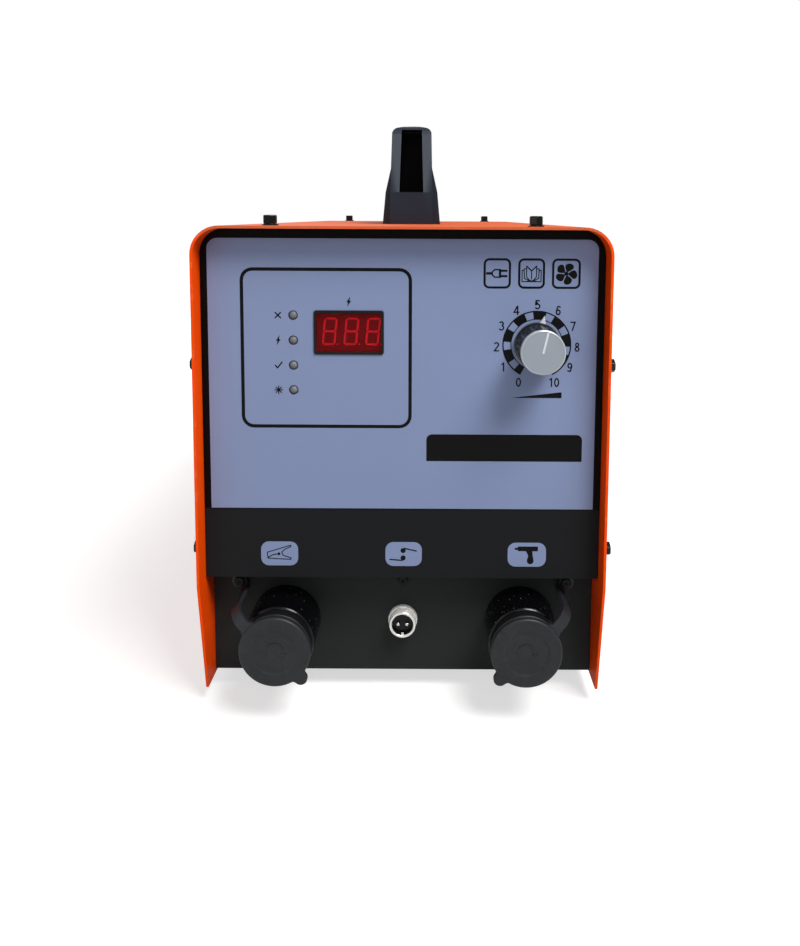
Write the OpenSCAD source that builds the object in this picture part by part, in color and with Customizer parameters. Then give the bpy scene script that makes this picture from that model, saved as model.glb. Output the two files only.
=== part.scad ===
// Capacitor-discharge stud welder: a folded steel case with a hooded front,
// a display and dial on the fascia, two capped weld sockets and a control
// socket below, a moulded carry handle on top, and the power parts inside.
// Millimetres. +Z is up and the front faces -Y. The origin lies under the
// middle of the whole machine, on the surface that its feet stand on.

/* [Case] */
// Outside width of the wrap-around cover
case_w = 230; // [222:1:260]
// Height of the cover, from its bottom edge to its top
case_h = 271; // [262:1:300]
// Depth of the cover, front edge to rear edge
case_l = 430; // [412:1:480]
// Thickness of all folded steel sheet
sheet_t = 1.5; // [1:0.1:2]
// Outside radius of the cover's two top corners
corner_r = 16; // [8:1:20]
// How far the fascia lies behind the cover's front edge
front_recess = 12; // [8:0.5:16]
// How far the connector panel lies behind the cover's front edge
lower_recess = 27; // [24:0.5:32]
// How far the rear panel lies ahead of the cover's rear edge
rear_recess = 12; // [8:0.5:20]
// Height of the connector panel's bay above the cover's bottom edge
chin_h = 68; // [64:1:74]
// How far the cover's side edges slant back below the fascia
chin_setback = 13; // [6:1:20]
// How far the cover hangs below the base tray
floor_clear = 2.6; // [1:0.1:5]
// Depth of the flanges folded back from the front and rear panels
flange_l = 24; // [20:1:32]
// Gap between the cover and the trays inside it
fit_gap = 0.3; // [0.2:0.05:0.5]

/* [Front overlay] */
// Bare fascia left at each side of the overlay
overlay_margin = 4.3; // [2:0.1:8]
// Distance from the cover's top to the overlay's top edge
overlay_drop = 7; // [4:0.5:12]
// Height of the overlay
overlay_h = 154.5; // [150:0.5:170]
// Thickness of the overlay
overlay_t = 0.5; // [0.2:0.1:1]
// Radius of the overlay's top corners
overlay_r = 6; // [2:0.5:10]

/* [Display] */
// Width of the display cut-out
window_w = 39.5; // [34:0.5:46]
// Height of the display cut-out
window_h = 25.1; // [20:0.1:30]
// Display centre from the cover's left side
window_inset = 84.8; // [80:0.1:91]
// Display centre below the cover's top
window_drop = 59.8; // [54:0.1:66]
// Radius of an indicator lamp
led_r = 2.5; // [1.5:0.1:3]
// Lamp column from the cover's left side
led_inset = 53.6; // [51:0.1:57]
// First lamp below the cover's top
led_drop = 50.1; // [46:0.1:56]
// Spacing of the lamps
led_pitch = 14.2; // [12:0.1:16]
// How far the lamps stand out of the overlay
led_proud = 0.8; // [0.2:0.1:2]

/* [Dial knob] */
// Dial centre from the cover's right side
dial_inset = 39.5; // [31:0.5:49]
// Dial centre below the cover's top
dial_drop = 66.2; // [58:0.1:76]
// Radius of the knob's skirt
skirt_r = 12.9; // [12.4:0.1:16]
// Radius of the knob's fluted grip
grip_r = 12; // [11:0.1:12.3]
// Front of the knob ahead of the fascia
knob_reach = 25; // [22:0.5:30]
// Angle of the pointer, clockwise from the top
knob_angle = 13; // [-150:1:150]
// Number of flutes round the grip
flute_count = 24; // [12:1:30]

/* [Weld sockets] */
// Each weld socket's axis from the cover's side
socket_inset = 45; // [41:0.5:51]
// Socket axes above the base tray's underside
socket_rise = 32.4; // [28:0.1:36]
// Radius of the socket's barrel
barrel_r = 20.5; // [20:0.1:22]
// Length of the barrel ahead of its panel
barrel_l = 25.5; // [20:0.5:30]
// Length of the socket's narrower nose
nose_l = 5.5; // [4:0.1:7]
// Radius of the contact's bore
contact_bore_r = 6.55; // [5:0.05:7]
// Depth of the contact's bore
contact_bore_l = 30; // [24:1:34]

/* [Socket caps] */
// Radius of a cap
cap_r = 20; // [19:0.1:21]
// Thickness of the cap's skirt
cap_wall = 2; // [1.5:0.1:2.5]
// Thickness of the cap's disc
cap_disc_t = 4.6; // [4:0.1:7]
// Gap between the cap's skirt and the nose inside it
cap_clear = 0.6; // [0.5:0.05:1]
// Direction of the strap, anticlockwise from the right of the left socket
strap_angle = 139; // [135:1:142]
// Width of the strap
strap_w = 6.5; // [4:0.5:8]
// Thickness of the strap
strap_t = 1.8; // [1.4:0.1:2.2]
// Strap's bending line from the socket's axis
hinge_r = 31; // [30:0.1:32]
// Strap's anchor screw from the socket's axis
anchor_r = 36.5; // [36.2:0.1:38]

/* [Control socket] */
// Radius of the threaded nose
ctrl_r = 8; // [7:0.1:10]
// Length of the threaded nose
ctrl_l = 6; // [5:0.5:10]
// Radius of the flange
ctrl_flange_r = 8.8; // [8.6:0.1:12]
// Radius of a pin
ctrl_pin_r = 1; // [0.6:0.1:1.5]

/* [Carry handle] */
// Width of the handle at its feet
handle_w = 40; // [38:0.5:44]
// Width of the handle's front at its feet
handle_front_w = 30; // [28:0.5:33]
// Width of the handle's grip
handle_top_w = 27.5; // [26:0.5:30]
// Height of the handle
handle_h = 68.5; // [62:0.5:76]
// Handle's middle to the right of the cover's middle
handle_x = 2; // [-4:0.5:4]
// Length of the handle
handle_l = 190; // [180:1:210]
// Handle's front behind the cover's front edge
handle_d = 110; // [90:1:120]
// Height of the solid block at each foot
block_h = 22; // [16:0.5:26]
// Width of the channel at the foot of each leg
channel_w = 16.4; // [14:0.1:18]
// Length of the finger gap
gap_l = 110; // [100:1:116]
// Height of the finger gap
gap_h = 42; // [38:1:46]

/* [Screws and feet] */
// Radius of the cover screws
screw_r = 2; // [1.5:0.1:2.5]
// Cover screws from the cover's front and rear edges
screw_inset = 17; // [16.5:0.5:19]
// Top screws from the cover's sides
top_screw_inset = 40.3; // [31:0.1:55]
// Upper side screws below the cover's top
side_screw_hi = 79; // [60:1:100]
// Lower side screws below the cover's top
side_screw_lo = 187; // [150:1:192]
// Height of the rubber feet
foot_h = 12; // [9:0.5:16]
// Radius of a rubber foot
foot_r = 13; // [10:0.5:15]

/* [Rear panel] */
// Side of the square fan frame
fan_size = 120; // [110:1:124]
// Depth of the fan frame
fan_t = 25; // [20:1:28]
// Number of fan blades
blade_count = 7; // [5:1:9]
// Fan centre below the cover's top
fan_drop = 90; // [82:1:98]
// Rear of the cable gland behind the rear panel
gland_reach = 26; // [22:0.5:32]
// Radius of the gland's bore
gland_bore_r = 5.5; // [3:0.1:6]
// Radius of the earth stud
earth_r = 3; // [2.5:0.1:4]

/* [Power parts] */
// Radius of a capacitor can
can_r = 31.75; // [29:0.25:32.5]
// Height of a capacitor can
can_h = 105; // [96:1:115]
// Thickness of the copper bars
bar_t = 3; // [2:0.1:4]
// Width of the transformer's core
core_w = 96; // [88:1:104]
// Height of the transformer's core
core_h = 80; // [72:1:88]
// Depth of the transformer's stack
core_l = 45; // [38:1:50]
// Length of the heat sink
sink_l = 140; // [130:1:150]
// Height of the control board above the base tray's underside
board_rise = 138; // [134:1:150]

/* [Hidden] */
$fn = 64;
// How far every cut runs past the face that it opens
overrun = 1;
// Gap round a piece that is pressed or clipped in place
snug = 0.1;
// Gap round a shaft that turns in its bore
running = 0.05;
// Gap round a screw in its hole
hole_gap = 0.2;
// Cosine that turns a hexagon's width across flats into its corner radius
hex_share = 0.8660254;
// Steps in an arc of the handle's outlines
arc_steps = 10;

// Levels and faces that the pieces share
y_front = -(case_l - rear_recess + gland_reach - knob_reach + front_recess) / 2;
base_z = foot_h;
cover_z = base_z - floor_clear;
top_z = cover_z + case_h;
shelf_z = cover_z + chin_h;
floor_z = base_z + sheet_t;
tray_w = case_w - 2 * sheet_t - 2 * fit_gap;
tray_top = top_z - sheet_t - fit_gap;
tray_r = corner_r - sheet_t - fit_gap;
fascia_y = y_front + front_recess;
panel_y = y_front + lower_recess;
rear_y = y_front + case_l - rear_recess;
window_x = window_inset - case_w / 2;
led_x = led_inset - case_w / 2;
dial_x = case_w / 2 - dial_inset;
socket_x = case_w / 2 - socket_inset;
top_screw_x = case_w / 2 - top_screw_inset;

// Screw heads: width across flats, flange radius and heights
head_af = 7;
head_flange_r = 4.7;
head_flange_t = 1;
head_h = 6;
screw_l = 9;
screw_ys = [y_front + screw_inset, y_front + case_l - screw_inset];
side_zs = [top_z - side_screw_hi, top_z - side_screw_lo];
// Low side screws into the base tray, as shares of the cover's depth
low_screw_shares = [0.3, 0.7];
base_flange_h = 26;
low_screw_z = base_z + base_flange_h / 2;

// Slots that let cooling air in through each side
vent_count = 10;
vent_w = 4;
vent_h = 44;
vent_pitch = 11;
vent_z = shelf_z + vent_h / 2;
vent_y = y_front + case_l / 2;

// Display stack, from the overlay back to the board
window_z = top_z - window_drop;
window_r = 1.6;
bezel_wall = 1.5;
bezel_proud = 0.6;
bezel_lip = 2;
filter_set = 0.4;
filter_t = 2;
spacer_l = 7;
spacer_r = 2.6;
display_board_w = 94;
display_board_h = 84;
display_board_inset = 25;
display_board_x = display_board_inset + display_board_w / 2 - case_w / 2;
display_board_drop = 69;
board_t = 1.6;
spacer_edge = 5;
led_count = 4;
led_flange = 0.4;
led_gap = 0.2;
led_zs = [for (i = [0 : led_count - 1]) top_z - led_drop - i * led_pitch];
display_board_y = fascia_y + sheet_t + spacer_l;
display_board_z = top_z - display_board_drop;
bezel_front = fascia_y - overlay_t - bezel_proud;

// Dial control, measured forward from the fascia's face
dial_z = top_z - dial_drop;
knob_gap = 0.8;
knob_back = overlay_t + knob_gap;
skirt_t = 2.5;
knob_cap_t = 3;
knob_cap_bevel = 0.8;
cap_seat = knob_reach - knob_cap_t;
flute_r = 0.8;
flute_lift = 0.4;
grip_draft = 0.15;
pocket_r = 8.2;
shaft_r = 3;
shaft_l = 9;
shaft_in_pot = 8;
bushing_r = 3.5;
bushing_l = 6.5;
pot_r = 12;
pot_t = 11;
pot_nut_af = 11;
pot_nut_t = 2;
pocket_end = bushing_l + knob_gap;
pointer_root = 10.4;
pointer_tip = 17.2;
pointer_w = 3.6;
pointer_t = 1.4;
pointer_lift = 0.5;

// Weld sockets, measured forward from the connector panel's face
socket_z = base_z + socket_rise;
nose_r = cap_r - cap_wall - cap_clear;
nose_end = barrel_l + nose_l;
nose_chamfer = 1;
tail_r = 15;
tail_l = 16;
contact_r = 9;
contact_set = 3;
contact_flange_r = 13;
contact_flange_t = 5;
contact_back = 36;
stud_r = 5;
stud_tip = 4;
stud_nut_af = 17;
stud_nut_t = 8;
ring_nut_r = 18.5;
ring_nut_t = 6;
link_y = panel_y + contact_back;

// Caps and straps, in the plane through the socket's axis and the strap
cap_back = nose_end + fit_gap;
cap_front = cap_back + cap_disc_t;
skirt_l = 5;
cap_skirt_back = cap_back - skirt_l;
cap_recess_share = 0.66;
cap_recess = 0.6;
cap_groove = 0.8;
cap_edge = 0.7;
tab_w = 7.5;
tab_reach = 4.4;
tab_fillet = 2.5;
tab_sink = 0.5;
tab_t = 2.6;
lug_t = 2;
lug_drop = 1;
hinge_behind = 1;
hinge_s = cap_skirt_back - hinge_behind;
hinge_pin_r = 1.3;
hinge_gap = 0.4;
lug_bend_r = 5;
strap_bend_r = 2.5;
eyelet_r = 4.6;
strap_screw_r = 1.5;
strap_screw_head_r = 2.9;
strap_screw_head_h = 2.2;
strap_screw_l = 6;
anchor_z = socket_z + anchor_r * sin(strap_angle);
anchor_x = socket_x - anchor_r * cos(strap_angle);
lip_edge = 3;
lip_h = shelf_z - anchor_z + lip_edge;
lip_w = tray_w - 2 * sheet_t - 2 * fit_gap;

// Control socket, measured forward from the connector panel's face
ctrl_flange_t = 2;
ctrl_wall = 1.6;
ctrl_tail_r = 7.6;
ctrl_tail_l = 9;
ctrl_set = 3;
ctrl_pin_x = 2.6;
ctrl_pin_out = 2.2;
ctrl_pin_tail = 4;
ctrl_key_w = 1.6;
ctrl_key_h = 1.1;
ctrl_nut_af = 19;
ctrl_nut_t = 3;
ctrl_in_r = ctrl_r - ctrl_wall;

// Carry handle, measured from its front foot and the cover's top
handle_y = y_front + handle_d;
leg_lean = 10;
roof_t = 3;
grip_edge_r = 5;
crown_r = 40;
brow_r = 8;
leg_run = sqrt(leg_lean * leg_lean + (handle_h - block_h) * (handle_h - block_h));
brow_y = leg_lean + brow_r * (leg_run - leg_lean) / (handle_h - block_h);
gap_r = 14;
wing_h = 41;
shoulder_h = 22;
shoulder_w = 36;
wing_set = 5;
channel_l = 28;
channel_top_w = channel_w - handle_front_w + handle_top_w;
bolt_inset = 15;
bolt_r = 3;
bolt_head_r = 5;
bolt_head_h = 6;
bolt_head_gap = 0.5;
bolt_sink = 12;
bolt_nut_af = 10;
bolt_nut_t = 5;
bolt_tip = 2;
bolt_ys = [handle_y + bolt_inset, handle_y + handle_l - bolt_inset];

// Feet and the screws under the base
foot_taper = 2;
foot_edge = 22;
foot_x = tray_w / 2 - foot_edge;
foot_inset = 75;
foot_bore_r = 2.6;
foot_head_r = 4.5;
foot_head_h = 3;
foot_head_gap = 1;
foot_pocket = 6;
foot_screw_r = 2.4;
foot_screw_up = 5;
foot_ys = [y_front + foot_inset, y_front + case_l - foot_inset];
machine_screw_r = 2;
machine_head_r = 3.7;
machine_head_h = 2.5;
base_screw_l = 8;
base_screw_inset = 70;
base_screw_x = case_w / 2 - base_screw_inset;
base_screw_in = 14;
base_screw_ys = [panel_y + base_screw_in, rear_y - base_screw_in];

// Fan and guard, measured back from the rear panel's face
fan_z = top_z - fan_drop;
fan_corner_r = 6;
fan_wall = 2;
fan_hub_r = 20;
fan_hub_gap = 0.6;
fan_strut_w = 6;
fan_strut_t = 4;
fan_shaft_r = 2;
fan_tip_gap = 2;
fan_bore_r = fan_size / 2 - fan_wall;
fan_hole_edge = 7.5;
fan_hole_pitch = fan_size - 2 * fan_hole_edge;
blade_t = 1.6;
blade_curve_r = 32;
blade_angle = 38;
blade_chord_angle = 42;
blade_set = 2.2;
guard_wire_r = 1.1;
guard_rings = 5;
guard_hub_r = 12;
guard_eye_r = 5;
fan_screw_l = 16;

// Mains switch on the rear panel
switch_inset = 53;
switch_x = case_w / 2 - switch_inset;
switch_below = 42;
switch_z = fan_z - fan_size / 2 - switch_below;
switch_w = 31;
switch_h = 26;
switch_flange_t = 2;
switch_body_w = 27.5;
switch_body_h = 22.5;
switch_body_l = 18;
rocker_w = 22.6;
rocker_r = 8.6;
rocker_gap = 0.7;
rocker_pivot = 0.4;
rocker_rise = 3.4;
rocker_dish = 1.2;
rocker_tilt = 10;
rocker_pin_r = 1.5;
rocker_pin_l = 1.3;
switch_corner_r = 2;

// Cable gland and earth stud on the rear panel
gland_inset = 53;
gland_x = gland_inset - case_w / 2;
gland_below = 12;
gland_z = switch_z - gland_below;
gland_thread_r = 10;
gland_thread_l = 13;
gland_hex_af = 25;
gland_hex_t = 6;
gland_cap_r = 12;
gland_cap_end_r = 8.5;
gland_nut_af = 27;
gland_nut_t = 5;
gland_wall = 2.5;
earth_x = gland_x;
earth_above = 34;
earth_z = gland_z + earth_above;
earth_l = 20;
earth_nut_af = 10;
earth_nut_t = 4;
earth_collar_t = 5;
earth_tip = 2;

// Capacitor bank: two columns, with as many rows as the depth between the panels takes
can_gap = 4.5;
can_rim = 1.2;
can_rim_h = 3;
post_x = 14;
post_r = 5.5;
post_h = 6;
bank_gap = 2;
col_x = can_r + can_gap / 2;
row_pitch = 2 * can_r + can_gap;
coil_wall = 15;
coil_gap = 0.4;
trafo_gap = 10;
rear_clear = 40;
bank_lead = contact_back + bar_t + stud_nut_t + stud_tip + bank_gap;
trafo_room = trafo_gap + core_l + 2 * (coil_wall + coil_gap);
can_rows = floor((rear_y - panel_y - bank_lead - trafo_room - rear_clear + can_gap) / row_pitch);
bank_y = panel_y + bank_lead + can_r;
row_ys = [for (i = [0 : can_rows - 1]) bank_y + i * row_pitch];
bank_end = row_ys[can_rows - 1];
bank_mid = (bank_y + bank_end) / 2;
bus_z = floor_z + can_h + post_h;
clamp_share = 0.6;
clamp_z = floor_z + can_h * clamp_share;
clamp_edge = 6;
clamp_half = col_x + can_r + clamp_edge;
bank_post_r = 3;
bank_post_x = clamp_half - clamp_edge;
board_z = base_z + board_rise;
board_w = 2 * clamp_half;
board_l = 104;
bar_w = 16;
bus_half = col_x - post_x + bar_w / 2;
bus_screw_r = 2.6;
bus_screw_af = 9;
bus_screw_h = 4;
link_w = 24;
drop_start = 20;
drop_end = 13;

// Heat sink with the power modules, and the parts on the floor
sink_w = 30;
sink_gap = 3;
sink_top_t = 10;
sink_fin_t = 2;
sink_fins = 5;
module_h = 27;
module_w = 25;
module_l = 90;
module_post_h = 3;
module_post_r = 5;
module_pitch = 23;
sink_side = 6.95;
sink_x = tray_w / 2 - sheet_t - sink_side - sink_w / 2;
bank_x = sink_x - sink_w / 2 - sink_gap - clamp_half;
sink_lead = 52;
sink_y = bank_mid - sink_lead;
sink_h = can_h + post_h - module_h - module_post_h;
rectifier_w = 28;
rectifier_h = 10;
coil_r = 5;
core_yoke = 16;
core_ear = 9;
core_ear_t = 3;
trafo_y = bank_end + can_r + trafo_gap + core_l / 2 + coil_wall + coil_gap;
// Parts on the control board: centre, footprint and height, as shares of the board and the tallest part
board_part_h = 32;
board_part_shares = [[-0.3, 0.25, 0.22, 0.3, 1], [0, 0.28, 0.2, 0.24, 0.6], [0.3, 0.1, 0.18, 0.5, 0.8],
    [-0.1, -0.2, 0.3, 0.2, 0.25], [-0.36, -0.32, 0.12, 0.16, 0.4], [0.2, -0.36, 0.4, 0.1, 0.35]];

// Shapes that repeat

// A rectangle about the origin with four rounded corners
module rounded(w, h, r) {
    square([w - 2 * r, h], center = true);
    square([w, h - 2 * r], center = true);
    for (x = [-1, 1], y = [-1, 1]) translate([x * (w / 2 - r), y * (h / 2 - r)]) circle(r);
}

// An upright outline, square below and rounded at its two top corners
module arch(w, z0, z1, r) {
    translate([-w / 2, z0]) square([w, z1 - z0 - r]);
    translate([-w / 2 + r, z0]) square([w - 2 * r, z1 - z0]);
    for (x = [-1, 1]) translate([x * (w / 2 - r), z1 - r]) circle(r);
}

// Points on an arc about c between two angles
function arc(c, r, a0, a1) = [for (i = [0:arc_steps]) let (a = a0 + (a1 - a0) * i / arc_steps) c + r * [cos(a), sin(a)]];

// An upright outline that tapers to a crowned top with two round corners
module crowned(w0, w1, h, r, crown) {
    half = w1 / 2 - r;
    rise = sqrt((crown - r) * (crown - r) - half * half);
    turn = atan2(rise, half);
    polygon(concat([[-w0 / 2, 0], [w0 / 2, 0]], arc([half, h - crown + rise], r, 0, turn),
        arc([0, h - crown], crown, turn, 180 - turn), arc([-half, h - crown + rise], r, 180 - turn, 180)));
}

// A slot about the origin, upright with round ends
module slot(w, h) {
    square([w, h - w], center = true);
    for (y = [-1, 1]) translate([0, y * (h - w) / 2]) circle(w / 2);
}

// A cylinder about +Z whose width across flats makes a hexagon
module hex(af, h) cylinder(r = af / 2 / hex_share, h = h, $fn = 6);

// An outline drawn in X and Z, from y0 back by l
module upright(y0, l) translate([0, y0 + l, 0]) rotate([90, 0, 0]) linear_extrude(l) children();

// An outline drawn in Y and Z, from x0 to the right by w
module sideways(x0, w) translate([x0, 0, 0]) rotate([90, 0, 90]) linear_extrude(w) children();

// Children built along +Z are turned to point forward, or back
module forward(x, y, z) translate([x, y, z]) rotate([90, 0, 0]) children();
module backward(x, y, z) translate([x, y, z]) rotate([90, 0, 180]) children();

// Children built on the left side, mirrored for the right side
module handed(side) {
    if (side > 0) mirror([1, 0, 0]) children();
    else children();
}

// A piece of a round disc from r0 to r1 between two angles less than 180 apart
module ring_part(r0, r1, a0, a1) {
    reach = 2 * r1;
    mid = (a0 + a1) / 2;
    intersection() {
        difference() {
            circle(r1);
            circle(r0);
        }
        polygon([[0, 0], reach * [cos(a0), sin(a0)], reach * [cos(mid), sin(mid)], reach * [cos(a1), sin(a1)]]);
    }
}

// A hexagon-head screw with a round flange: the head on top, the shank below
module flange_screw(r, l) {
    translate([0, 0, -l]) cylinder(r = r, h = l + head_flange_t);
    cylinder(r = head_flange_r, h = head_flange_t);
    hex(head_af, head_h);
}

// A round-head screw: the head on top, the shank below
module round_screw(r, l, head_r, h) {
    translate([0, 0, -l]) cylinder(r = r, h = l + h / 2);
    cylinder(r = head_r, h = h);
}

// Children at each cover screw, with +Z pointing out of the sheet
module at_cover_screws() {
    for (x = [-1, 1], y = screw_ys) translate([x * top_screw_x, y, top_z]) children();
    for (x = [-1, 1]) {
        for (z = side_zs, y = screw_ys) translate([x * case_w / 2, y, z]) rotate([0, x * 90, 0]) children();
        for (s = low_screw_shares) translate([x * case_w / 2, y_front + s * case_l, low_screw_z])
            rotate([0, x * 90, 0]) children();
    }
}

// Holes for the cover screws, through the cover and the flanges behind it
module cover_screw_holes() at_cover_screws()
    translate([0, 0, -screw_l]) cylinder(r = screw_r + hole_gap, h = screw_l + overrun);

// Case

module top_cover() color("OrangeRed") difference() {
    upright(y_front, case_l) difference() {
        arch(case_w, cover_z, top_z, corner_r);
        arch(case_w - 2 * sheet_t, cover_z - overrun, top_z - sheet_t, corner_r - sheet_t);
    }
    sideways(-case_w / 2 - overrun, case_w + 2 * overrun) polygon([
        [y_front - overrun, shelf_z], [y_front, shelf_z], [y_front + chin_setback, cover_z],
        [y_front + chin_setback, cover_z - overrun], [y_front - overrun, cover_z - overrun]]);
    sideways(-case_w / 2 - overrun, case_w + 2 * overrun)
        for (i = [0 : vent_count - 1]) translate([vent_y + (i - (vent_count - 1) / 2) * vent_pitch, vent_z])
            slot(vent_w, vent_h);
    cover_screw_holes();
    for (y = bolt_ys) translate([handle_x, y, top_z - sheet_t - overrun])
        cylinder(r = bolt_r + hole_gap, h = sheet_t + 2 * overrun);
}

module base_tray() color("DimGray") difference() {
    union() {
        translate([-tray_w / 2, panel_y + sheet_t, base_z])
            cube([tray_w, rear_y - panel_y - 2 * sheet_t, sheet_t]);
        for (x = [-1, 1]) translate([x * (tray_w - sheet_t) / 2 - sheet_t / 2,
            panel_y + flange_l + fit_gap, base_z])
            cube([sheet_t, rear_y - panel_y - 2 * flange_l - 2 * fit_gap, base_flange_h]);
    }
    cover_screw_holes();
    at_feet() translate([0, 0, -overrun]) cylinder(r = foot_screw_r + hole_gap, h = sheet_t + 2 * overrun);
    at_base_screws() translate([0, 0, -overrun]) cylinder(r = machine_screw_r + hole_gap, h = sheet_t + 2 * overrun);
}

// Children at each foot, on the base tray's underside
module at_feet() for (x = [-1, 1], y = foot_ys) translate([x * foot_x, y, base_z]) children();

// Children at each screw that joins the base tray to an end panel
module at_base_screws() for (x = [-1, 1], y = base_screw_ys) translate([x * base_screw_x, y, base_z]) children();

module front_fascia() color([0.06, 0.06, 0.07]) difference() {
    union() {
        upright(fascia_y, sheet_t) arch(tray_w, shelf_z, tray_top, tray_r);
        upright(fascia_y, flange_l) difference() {
            arch(tray_w, shelf_z, tray_top, tray_r);
            arch(tray_w - 2 * sheet_t, shelf_z - overrun, tray_top - sheet_t, tray_r - sheet_t);
        }
        translate([-tray_w / 2, fascia_y, shelf_z])
            cube([tray_w, panel_y - fascia_y + 2 * sheet_t, sheet_t]);
        translate([-lip_w / 2, panel_y + sheet_t, shelf_z - lip_h]) cube([lip_w, sheet_t, lip_h + sheet_t]);
    }
    cover_screw_holes();
    forward(0, fascia_y + sheet_t + overrun, 0) linear_extrude(sheet_t + 2 * overrun) {
        translate([window_x, window_z]) rounded(window_w, window_h, window_r);
        for (z = led_zs) translate([led_x, z]) circle(led_r + led_gap);
        translate([dial_x, dial_z]) circle(bushing_r + hole_gap);
    }
    at_panel_screws(0) translate([0, 0, -strap_screw_l - overrun])
        cylinder(r = strap_screw_r + hole_gap, h = strap_screw_l + overrun);
}

// Children at the screws along the connector panel's top, lifted off it by up at the straps
module at_panel_screws(up) for (i = [-1 : 1])
    forward(i * anchor_x, panel_y - abs(i) * up, anchor_z) children();

module connector_panel() color([0.14, 0.14, 0.15]) difference() {
    union() {
        translate([-tray_w / 2, panel_y, base_z]) cube([tray_w, sheet_t, shelf_z - base_z]);
        translate([-tray_w / 2, panel_y, floor_z]) cube([tray_w, flange_l, sheet_t]);
        for (x = [-1, 1]) translate([x * (tray_w - sheet_t) / 2 - sheet_t / 2, panel_y, floor_z])
            cube([sheet_t, flange_l, shelf_z - floor_z]);
    }
    for (x = [-1, 1]) forward(x * socket_x, panel_y, socket_z) translate([0, 0, -sheet_t - overrun])
        cylinder(r = tail_r + hole_gap, h = sheet_t + 2 * overrun);
    forward(0, panel_y, socket_z) translate([0, 0, -sheet_t - overrun])
        cylinder(r = ctrl_tail_r + hole_gap, h = sheet_t + 2 * overrun);
    at_panel_screws(0) translate([0, 0, -sheet_t - overrun])
        cylinder(r = strap_screw_r + hole_gap, h = sheet_t + 2 * overrun);
    at_base_screws() cylinder(r = machine_screw_r + hole_gap, h = 2 * sheet_t + overrun);
}

module rear_panel() color([0.1, 0.1, 0.11]) difference() {
    union() {
        upright(rear_y - sheet_t, sheet_t) arch(tray_w, base_z, tray_top, tray_r);
        upright(rear_y - flange_l, flange_l) difference() {
            arch(tray_w, floor_z, tray_top, tray_r);
            arch(tray_w - 2 * sheet_t, floor_z + sheet_t, tray_top - sheet_t, tray_r - sheet_t);
        }
    }
    cover_screw_holes();
    at_base_screws() cylinder(r = machine_screw_r + hole_gap, h = 2 * sheet_t + overrun);
    backward(0, rear_y - sheet_t - overrun, 0) linear_extrude(sheet_t + 2 * overrun) {
        translate([0, fan_z]) circle(fan_bore_r);
        for (x = [-1, 1], z = [-1, 1]) translate([x, z] * fan_hole_pitch / 2 + [0, fan_z])
            circle(machine_screw_r + hole_gap);
        translate([-switch_x, switch_z]) square([switch_body_w + 2 * snug, switch_body_h + 2 * snug], center = true);
        translate([-gland_x, gland_z]) circle(gland_thread_r + hole_gap);
        translate([-earth_x, earth_z]) circle(earth_r + hole_gap);
    }
}

module panel_overlay() color([0.52, 0.57, 0.7]) upright(fascia_y - overlay_t, overlay_t) difference() {
    arch(case_w - 2 * sheet_t - 2 * overlay_margin, top_z - overlay_drop - overlay_h, top_z - overlay_drop, overlay_r);
    translate([window_x, window_z]) rounded(window_w, window_h, window_r);
    for (z = led_zs) translate([led_x, z]) circle(led_r + led_gap);
    translate([dial_x, dial_z]) circle(bushing_r + hole_gap);
}

module cover_screws() color("black") at_cover_screws() flange_screw(screw_r, screw_l - overrun);

module panel_screws() color("black") at_panel_screws(strap_t)
    round_screw(strap_screw_r, strap_screw_l, strap_screw_head_r, strap_screw_head_h);

// Round-head screws of one size: under the base tray, and through the fan's guard
module machine_screws() color("black") {
    at_base_screws() rotate([180, 0, 0])
        round_screw(machine_screw_r, base_screw_l, machine_head_r, machine_head_h);
    backward(0, rear_y + 2 * guard_wire_r, fan_z) fan_corners()
        round_screw(machine_screw_r, fan_screw_l, machine_head_r, machine_head_h);
}

module rubber_feet() color([0.08, 0.08, 0.08]) at_feet() rotate([180, 0, 0]) rotate_extrude() polygon([
    [foot_bore_r, 0], [foot_r, 0], [foot_r - foot_taper, foot_h], [foot_head_r + foot_head_gap, foot_h],
    [foot_head_r + foot_head_gap, foot_h - foot_pocket], [foot_bore_r, foot_h - foot_pocket]]);

module foot_screws() color("silver") at_feet() translate([0, 0, -foot_h + foot_pocket]) rotate([180, 0, 0])
    round_screw(foot_screw_r, foot_h - foot_pocket + sheet_t + foot_screw_up, foot_head_r, foot_head_h);

// Carry handle

// Side of the handle: upright feet, legs that lean in and a round brow at each end of the grip
module handle_side() {
    lean = atan2(leg_lean, handle_h - block_h);
    polygon(concat([[0, 0], [0, block_h]], arc([brow_y, handle_h - brow_r], brow_r, 180 - lean, 90),
        arc([handle_l - brow_y, handle_h - brow_r], brow_r, 90, lean), [[handle_l, block_h], [handle_l, 0]]));
}

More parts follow.
